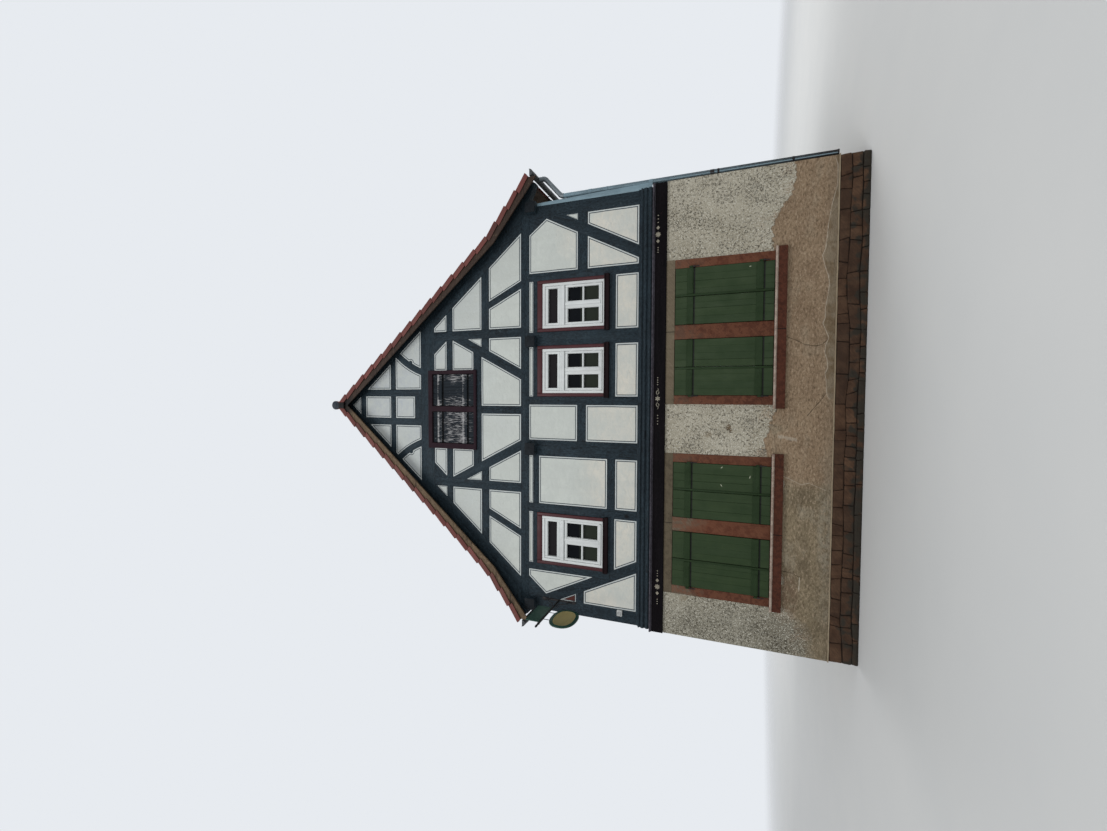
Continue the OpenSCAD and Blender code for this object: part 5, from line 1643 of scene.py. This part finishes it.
def on_slope(side, up, length):
    """The matrix for a strip drawn with x along the eave, y up the slope and z
    out of it, that lies on the roof between two points of its line."""
    (run_a, z_a), (run_b, z_b) = slope_point(side, up), slope_point(side, up + length)
    way = -1 if side == 0 else 1
    low, high = Vector((RIDGE_X + way * run_a, 0, z_a)), Vector((RIDGE_X + way * run_b, 0, z_b))
    rise = (high - low).normalized()
    across = Vector((0, way, 0))
    return Matrix.Translation(low) @ Matrix((across, rise, across.cross(rise))).transposed().to_4x4()


def bent_grid(name, columns, rows, shape):
    """A grid in edit mode whose points go where shape puts their column and row."""
    piece = begin(name)
    bpy.ops.mesh.primitive_grid_add(x_subdivisions=columns - 1, y_subdivisions=rows - 1, size=1)
    for vert in each(piece):
        x, y, _ = vert.co
        vert.co = shape(round((x + 0.5) * (columns - 1)), round((y + 0.5) * (rows - 1)))
    return piece


def clay_tile(course):
    """One pantile: its waved top, lifted at the nose, with a thick front edge."""
    along = ((0.0, 0.003), (0.012, 0.0), (course + 0.03, (course + 0.018) / course * 0.022))

    def shape(column, row):
        (x, height), (y, sunk) = TILE_CROSS[column], along[row]
        return x - TILE_WIDE / 2, y, height - sunk

    piece = bent_grid("clay_tile", len(TILE_CROSS), 3, shape)
    pick(piece, "edges", lambda e: e.is_boundary and all(v.co.y < 0.001 for v in e.verts))
    bpy.ops.mesh.extrude_region_move(TRANSFORM_OT_translate={"value": (0, 0.002, -0.015)})
    bpy.ops.mesh.extrude_region_move(TRANSFORM_OT_translate={"value": (0, 0.045, -0.002)})
    bpy.ops.mesh.select_all(action="SELECT")
    bpy.ops.mesh.normals_make_consistent(inside=False)
    return done(piece)


def verge_tile(course, way):
    """The side of a verge tile, which hangs over the board and steps at its foot."""
    piece = begin("verge_tile")
    x = way * 5.05
    low, high = sorted((x + way * 0.001, x + way * 0.013))
    board((low, -0.004, -0.100), (high, course + 0.012, -0.006), 0.004, 2)
    for vert in each(piece):
        # The foot stands out over the next tile, and the head tucks in behind it
        part = min(1.0, max(0.0, vert.co.y / course))
        vert.co.x -= way * (0.012 * part - 0.004)
        vert.co.z -= 0.030 * part - 0.012
        if vert.co.y < 0.02 and vert.co.z < -0.05:
            vert.co.y += 0.012
    bar_round((x - way * 0.010, -0.004, -0.004), (x - way * 0.010, course + 0.02, -0.036), 0.0225, 0.004, 10)
    for vert in each(piece):
        # The foot swells into a round nose
        if vert.select and vert.co.y < 0.01:
            vert.co.x += (vert.co.x - x + way * 0.010) * 0.22
            vert.co.z += (vert.co.z + 0.004) * 0.22
    return done(piece)


def tiled_slope(side, name):
    """All tiles of one slope: a row is made once, and laid course by course."""
    courses = (18, 19)[side]
    course = (slope_length(side) - 0.02) / courses
    row = clay_tile(course)
    row.data.transform(Matrix.Translation((-24 * TILE_WIDE, 0, 0)))
    apply(row, "ARRAY", count=49, use_relative_offset=False, use_constant_offset=True,
          constant_offset_displace=(TILE_WIDE, 0, 0))
    row = joined("row", [row, verge_tile(course, -1), verge_tile(course, 1)])
    pieces = [twin(row, on_slope(side, k * course - (0.02 if k == 0 else 0), course))
              for k in range(courses)]
    drop(row)
    piece = joined(name, pieces)
    # No two tiles lie quite alike
    mesh = piece.data
    at, part = places(mesh), islands(mesh)
    count = part.max() + 1
    at += (chance.normal(0, 1, (count, 3)) * (0.0010, 0.0012, 0.0012))[part]
    mesh.vertices.foreach_set("co", at.ravel())
    mesh.attributes.new("tint", "FLOAT", "POINT").data.foreach_set("value", chance.random(count)[part])
    return settle(piece, TILE, "roof_tile", name.replace("_tiles", "_roof"), smooth=50)


def roof_boards(side):
    """The boards under the tiles, as seen from below at the eave and the verge."""
    piece = begin(("left", "right")[side] + "_roof_boards")
    total = slope_length(side)
    count = round((total - 0.05) / 0.145)
    wide = (total - 0.05) / count
    for k in range(count):
        placed_board(piece, on_slope(side, 0.03 + k * wide, wide),
                     (-5.0, 0.001, -0.0705), (5.0, wide - 0.001, -0.048), 0.003)
    return settle(lay_grain(done(piece)), ROOF_WOOD, "floor_wood")


def ridge_model(length):
    """A ridge tile: a bent sheet with a collar over the next one."""
    along = ((0.0, 0.0930), (0.004, 0.0955), (0.045, 0.0950), (0.052, 0.0885), (length * 0.6, 0.0850),
             (length + 0.02, 0.0815))

    def shape(column, row):
        turn, (y, radius) = math.radians(212 - 16 * column), along[row]
        return radius * math.cos(turn), y, radius * math.sin(turn)

    piece = done(bent_grid("ridge_model", 17, 6, shape))
    apply(piece, "SOLIDIFY", thickness=0.012, offset=-1.0)
    return weld(piece)


def ridge():
    """The row of ridge tiles, with a dark cap at each gable."""
    length = 10.12 / 25
    model = ridge_model(length)
    pieces = []
    for k in range(25):
        spot = Matrix.Translation((RIDGE_X + chance.uniform(-0.002, 0.002), -5.06 + k * length, RIDGE_Z))
        pieces.append(twin(model, spot))
    drop(model)
    for piece in pieces:
        piece.data.materials.append(TILE)
    # Mortar along both sides
    bed = begin("bed")
    for x in (RIDGE_X - 0.062, RIDGE_X + 0.062):
        bar_round((x, -5.03, RIDGE_Z - 0.078), (x, 5.03, RIDGE_Z - 0.078), 0.026, 0.004, 8)
    done(bed, MORTAR)
    # End caps, dark both from dirt and as painted shade under the ridge
    caps = begin("caps")
    for way in (-1, 1):
        y, z = way * 5.06, RIDGE_Z + 0.002
        bar_round((RIDGE_X, y - way * 0.03, z), (RIDGE_X, y + way * 0.012, z), 0.096, 0.012, 24)
        low, high = sorted((y - way * 0.02, y + way * 0.008))
        board((RIDGE_X - 0.064, low, RIDGE_Z - 0.118), (RIDGE_X + 0.064, high, RIDGE_Z - 0.02), 0.012, 2)
        dome((RIDGE_X, y + way * 0.012, z), 0.060, 0.22, (0, way, 0), 8, 16)
    done(caps, RIDGE_SLATE)
    # A dark tongue below each cap hides where the verge tiles meet
    tongues = begin("tongues")
    for y in (-5.066, 5.066):
        board((RIDGE_X - 0.066, y - 0.014, RIDGE_Z - 0.248), (RIDGE_X + 0.066, y + 0.014, RIDGE_Z - 0.105),
              0.005, 2)
    piece = joined("ridge_row", [*pieces, bed, caps, done(tongues, VERGE_DARK)])
    lay_grain(piece, 1)
    return settle(piece, [TILE, MORTAR, RIDGE_SLATE, VERGE_DARK], "roof_tile", "ridge_tiles", smooth=40)


def verge():
    """The verge boards: the left ones have gone pale, the right ones are dark."""
    piece = lay_grain(eased("verge_board_pairs", ["verge_boards"], 0.004, corner=40))
    mesh = bmesh.new()
    mesh.from_mesh(piece.data)
    bmesh.ops.bisect_plane(mesh, geom=[*mesh.verts, *mesh.edges, *mesh.faces],
                           plane_co=(RIDGE_X, 0, 0), plane_no=(1, 0, 0))
    mesh.to_mesh(piece.data)
    mesh.free()
    settle(piece, [VERGE_DARK, VERGE_PALE], "verge_wood", "verge_boards")
    return refinish(piece, 1, lambda f: f.center.x < RIDGE_X)


tiled_slope(0, "left_tiles")
tiled_slope(1, "right_tiles")
roof_boards(0)
roof_boards(1)
ridge()
verge()

# Gutters and downpipe

GUTTER_X = (RIDGE_X - EAVE_RUN[0] - 0.030, RIDGE_X + EAVE_RUN[1] + 0.030)


def gutter_z(side):
    return slope_point(side, 0.0)[1] - 0.072 / math.cos(KICK_PITCH) - 0.004


def hoop(x, y, z, radius, depth, sides=32, cap="NOTHING"):
    """A round ring or disc in edit mode that lies along the eave."""
    select_none()
    bpy.ops.mesh.primitive_cylinder_add(vertices=sides, radius=radius, depth=depth, end_fill_type=cap,
                                        location=(x, y, z), rotation=(math.pi / 2, 0, 0))


def gutter_runs():
    """Half round gutters with a bead, end caps and brackets."""
    pieces = []
    for side, way in ((0, -1), (1, 1)):
        x, z = GUTTER_X[side], gutter_z(side)
        sheet = begin("gutter_sheet")
        hoop(x, 0, z, 0.062, 10.1)
        pick(sheet, "faces", lambda f: f.calc_center_median().z > z + 0.001)
        bpy.ops.mesh.delete(type="FACE")
        done(sheet)
        apply(sheet, "SOLIDIFY", thickness=0.0022, offset=-1.0)
        rest = begin("gutter_rest")
        rim = x + way * 0.0585
        bar_round((rim, -5.05, z + 0.001), (rim, 5.05, z + 0.001), 0.0075, 0.002, 10)
        for end in (-1, 1):
            hoop(x, end * 5.048, z, 0.0605, 0.003, cap="NGON")
            bpy.ops.mesh.bisect(plane_co=(x, 0, z), plane_no=(0, 0, 1), clear_outer=True, use_fill=True)
        for k in range(13):
            y = -4.86 + k * 0.81
            hoop(x, y, z, 0.0655, 0.028, 24)
            bpy.ops.mesh.bisect(plane_co=(x, 0, z), plane_no=(0, 0, 1), clear_outer=True)
            bpy.ops.mesh.select_linked()
            bpy.ops.mesh.solidify(thickness=0.0034)
            low, high = sorted((x - way * 0.066, x - way * 0.0615))
            board((low, y - 0.014, z - 0.004), (high, y + 0.014, z + 0.045), 0.001)
        done(rest)
        pieces += [sheet, rest]
    piece = joined("gutter_runs", pieces)
    weld(piece, 1e-5)
    lay_grain(piece, 1)
    return settle(piece, GUTTER, "gutter_metal", "gutters", smooth=40)


def pipe_run():
    """The downpipe with its collars and brackets: iron at the foot, zinc above."""
    piece = done(welded("rain_pipe", ["downpipe"]))
    extra = begin("collars")
    x, y = RIGHT + 0.158, FRONT + 0.110
    for z in (2.28, 3.30, 4.42):
        upright(x, y, z - 0.035, z + 0.035, 0.0475, 0.003, 24)
    for z in (1.05, 2.18, 4.10):
        upright(x, y, z - 0.016, z + 0.016, 0.0480, 0.003, 24)
        bar_round((x - 0.044, y, z), (RIGHT if z > 3 else WALL_X - 0.004, y, z), 0.007, 0.001, 8)
        board((x - 0.006, y - 0.062, z - 0.014), (x + 0.006, y - 0.044, z + 0.014), 0.002)
    upright(x, y, 0.413, 0.435, 0.050, 0.004, 24)
    piece = joined("rain_pipe", [piece, done(extra)])
    lay_grain(piece, 2)
    settle(piece, [ZINC, ZINC_BLUE, IRON], "zinc", "downpipe", smooth=50)
    refinish(piece, 1, lambda f: f.center.z < 4.9)
    return refinish(piece, 2, lambda f: f.center.z < 2.28)


def flashing():
    """The sheet at the corner post, with its seam and nails."""
    piece = eased("corner_sheet", ["corner_flashing"], 0.001, corner=35, shortest=0.004)
    extra = begin("sheet_nails")
    for k in range(12):
        z = 3.36 + k * 0.18
        lean = 0.105 - (z - 3.26) * 0.063 / 2.18
        dome((RIGHT + lean - 0.012, FRONT - 0.008, z), 0.005, 0.35)
    piece = joined("corner_sheet", [piece, done(extra)])
    lay_grain(piece, 2)
    return settle(piece, ZINC_BLUE, "zinc", "corner_flashing", smooth=30)


# Hanging sign

SIGN_X, BAR_Z = LEFT + 0.225, 4.975
OVAL_Y, OVAL_Z = FRONT - 0.69, 4.62


def iron_curl(way, points, radius=0.009):
    """A forged curl above or below the bar: a round bar swept through points, as
    reach and rise, and tapered to its end."""
    curve = bpy.data.curves.new("curl", "CURVE")
    curve.dimensions = "3D"
    curve.bevel_depth, curve.bevel_resolution = radius, 2
    line = curve.splines.new("BEZIER")
    line.bezier_points.add(len(points) - 1)
    for k, (point, (reach, rise)) in enumerate(zip(line.bezier_points, points)):
        point.co = (SIGN_X, FRONT - reach, BAR_Z + way * (0.012 + rise))
        point.handle_left_type = point.handle_right_type = "AUTO"
        point.radius = 1.0 - 0.55 * k / (len(points) - 1)
    line.resolution_u = 6
    curve.use_fill_caps = True
    holder = bpy.data.objects.new("curl", curve)
    scene.collection.objects.link(holder)
    choose(holder)
    bpy.ops.object.convert(target="MESH")
    return bpy.context.object


def plate(half, near, far, low, high, ease):
    """A board in edit mode in the plane of the sign, between two reaches."""
    board((SIGN_X - half, FRONT - far, low), (SIGN_X + half, FRONT - near, high), ease)


def sign_iron():
    """Wall plate with leaf ends, the bar with its point, and forged curls."""
    piece = begin("sign_iron")
    plate(0.020, 0.0005, 0.010, 4.70, 5.26, 0.004)
    for z, way in ((5.26, 1), (4.70, -1)):
        select_none()
        bpy.ops.mesh.primitive_uv_sphere_add(
            segments=10, ring_count=8, radius=1, location=(SIGN_X, FRONT - 0.006, z + way * 0.022),
            scale=(0.034, 0.007, 0.044))
    for z in (4.80, 4.97, 5.16):
        dome((SIGN_X, FRONT - 0.010, z), 0.009, 0.6)
    plate(0.012, 0.008, 1.10, 4.960, 4.990, 0.003)
    bar_round((SIGN_X, FRONT - 1.09, BAR_Z), (SIGN_X, FRONT - 1.135, BAR_Z), 0.020, 0.006, 12)
    dome((SIGN_X, FRONT - 1.138, BAR_Z), 0.018, 1.0, (0, -1, 0), 6, 12)
    for out in (0.30, 1.02):
        plate(0.015, out - 0.018, out + 0.018, 4.955, 4.995, 0.003)
    # Hooks between the bar and the boards
    for out, low, high in ((0.44, 4.984, 4.998), (0.90, 4.984, 4.998),
                           (0.55, 4.84, 4.962), (0.83, 4.84, 4.962)):
        upright(SIGN_X, FRONT - out, low, high, 0.006, 0.001, 8)
    done(piece)
    curls = []
    for way in (-1, 1):
        curls.append(iron_curl(way, [(0.010, 0.20), (0.10, 0.16), (0.17, 0.07), (0.26, 0.025), (0.30, 0.055),
                                     (0.265, 0.080), (0.245, 0.058)]))
        curls.append(iron_curl(way, [(0.012, 0.235), (0.055, 0.225), (0.075, 0.255), (0.050, 0.275),
                                     (0.035, 0.255)], 0.007))
    piece = joined("sign_iron", [piece, *curls])
    lay_grain(piece)
    return settle(piece, IRON, "iron", "sign_bracket", smooth=50)


def inset_panels(piece, *steps):
    """Insets the broad faces of an open sign board, by width and depth."""
    pick(piece, "faces", lambda f: abs(f.normal.x) > 0.9 and f.calc_area() > 0.05)
    for width, depth in steps:
        bpy.ops.mesh.inset(thickness=width, depth=depth, use_individual=True)


def sign_panels():
    """The two bare sign boards: a green one on the bar and an oval one below."""
    top = begin("top_board")
    plate(0.010, 0.36, 0.96, 4.992, 5.252, 0.003)
    inset_panels(top, (0.018, 0), (0.004, -0.003))
    done(top, SIGN_GREEN)
    oval = begin("oval_board")
    bpy.ops.mesh.primitive_cylinder_add(vertices=48, radius=1, depth=0.020, rotation=(0, math.pi / 2, 0),
                                        location=(SIGN_X, OVAL_Y, OVAL_Z))
    for vert in each(oval):
        turn = math.atan2(vert.co.z - OVAL_Z, vert.co.y - OVAL_Y)
        c, s = math.cos(turn), math.sin(turn)
        vert.co.y = OVAL_Y + 0.35 * math.copysign(abs(c) ** 0.86, c)
        vert.co.z = OVAL_Z + 0.24 * math.copysign(abs(s) ** 0.86, s)
    pick(oval, "edges", lambda e: e.calc_face_angle(0) > 1)
    bpy.ops.mesh.bevel(offset=0.003, segments=2, affect="EDGES")
    inset_panels(oval, (0.045, 0), (0.006, 0.004), (0.006, -0.004))
    for face in each(oval, "faces"):
        face.material_index = int(face.select)
    done(oval, SIGN_GREEN, SIGN_OCHRE)
    piece = joined("sign_panels", [top, oval])
    lay_grain(piece, 1)
    return settle(piece, [SIGN_GREEN, SIGN_OCHRE], "sign_paint", "sign_boards", smooth=35)


gutter_runs()
pipe_run()
flashing()
sign_iron()
sign_panels()

# Stage, light and camera


def blended(mask, first, second):
    """A shader that goes from first to second as the mask goes from 0 to 1."""
    made = add(mask.tree, "MixShader")
    for socket, value in zip(made.inputs, (mask, first, second)):
        feed(mask.tree, socket, value)
    return Flow(made)


def stage_floor():
    """A pale floor that fades out into the background."""
    bpy.ops.mesh.primitive_plane_add(size=240, location=(0, 0, 0))
    floor = bpy.context.object
    floor.name = "stage_floor"
    f = Finish("floor_finish", (206, 207, 206), 0.95, 0.1)
    f.lay((cloud(f.at, 0.8, 3.0), (212, 212, 210)))
    fade = f.at.length().span(13.0, 34.0, 0.0, 1.0, True)
    both = blended(fade, Flow(f.shader), Flow(add(f.tree, "BsdfTransparent")))
    feed(f.tree, f.tree.nodes["Material Output"].inputs["Surface"], both)
    floor.data.materials.append(f.material)


def backdrop_light():
    """An even grey light all round, and a pale background where it is seen."""
    world = bpy.data.worlds.new("soft_studio")
    scene.world = world
    world.use_nodes = True
    tree = world.node_tree
    tree.nodes.clear()
    path = add(tree, "LightPath")
    seen, glossy, through = [Flow(path, "Is " + ray + " Ray")
                             for ray in ("Camera", "Glossy", "Transmission")]
    light = add(tree, "Background", Color=(0.93, 0.96, 1.0, 1.0), Strength=0.54)
    pale = add(tree, "Background", Color=(0.80, 0.83, 0.87, 1.0), Strength=1.0)
    add(tree, "OutputWorld", Surface=blended(seen.either(glossy.either(through)), Flow(light), Flow(pale)))


def soft_lamp(name, place, aim, size, power):
    lamp = bpy.data.lights.new(name, "AREA")
    lamp.shape, lamp.size, lamp.energy = "DISK", size, power
    holder = bpy.data.objects.new(name, lamp)
    scene.collection.objects.link(holder)
    holder.location = place
    holder.rotation_euler = (Vector(aim) - Vector(place)).to_track_quat("-Z", "Y").to_euler()


def street_camera():
    """The camera in front of the house, tilted up and turned on its side."""
    pitch, roll, yaw = math.radians(21.34), math.radians(1.0), math.radians(2.37)
    level = Vector((-math.sin(yaw), math.cos(yaw), 0))
    right = Vector((math.cos(yaw), math.sin(yaw), 0))
    up = Vector((0, 0, 1))
    ahead = math.cos(pitch) * level + math.sin(pitch) * up
    over = -math.sin(pitch) * level + math.cos(pitch) * up
    right, over = (math.cos(roll) * right + math.sin(roll) * over,
                   -math.sin(roll) * right + math.cos(roll) * over)
    data = bpy.data.cameras.new("street_camera")
    data.sensor_width, data.lens = 36, 483 / 1107 * 36
    data.clip_start, data.clip_end = 0.1, 500
    camera = bpy.data.objects.new("street_camera", data)
    scene.collection.objects.link(camera)
    turn = Matrix((-over, right, -ahead)).transposed().to_4x4()
    camera.matrix_world = Matrix.Translation((0.2408, -13.39, 1.7427)) @ turn
    scene.camera = camera


stage_floor()
backdrop_light()
soft_lamp("sky_lamp", (-5, -22, 20), (0, -3, 4.5), 12, 2100)
soft_lamp("street_lamp", (4, -26, 3), (0, -4.8, 5), 12, 900)
soft_lamp("fill_lamp", (17, 6, 14), (0, 0, 4), 12, 1500)
soft_lamp("back_lamp", (-8, 19, 14), (0, 2, 4), 12, 1500)
street_camera()
scene.view_settings.view_transform = "Standard"
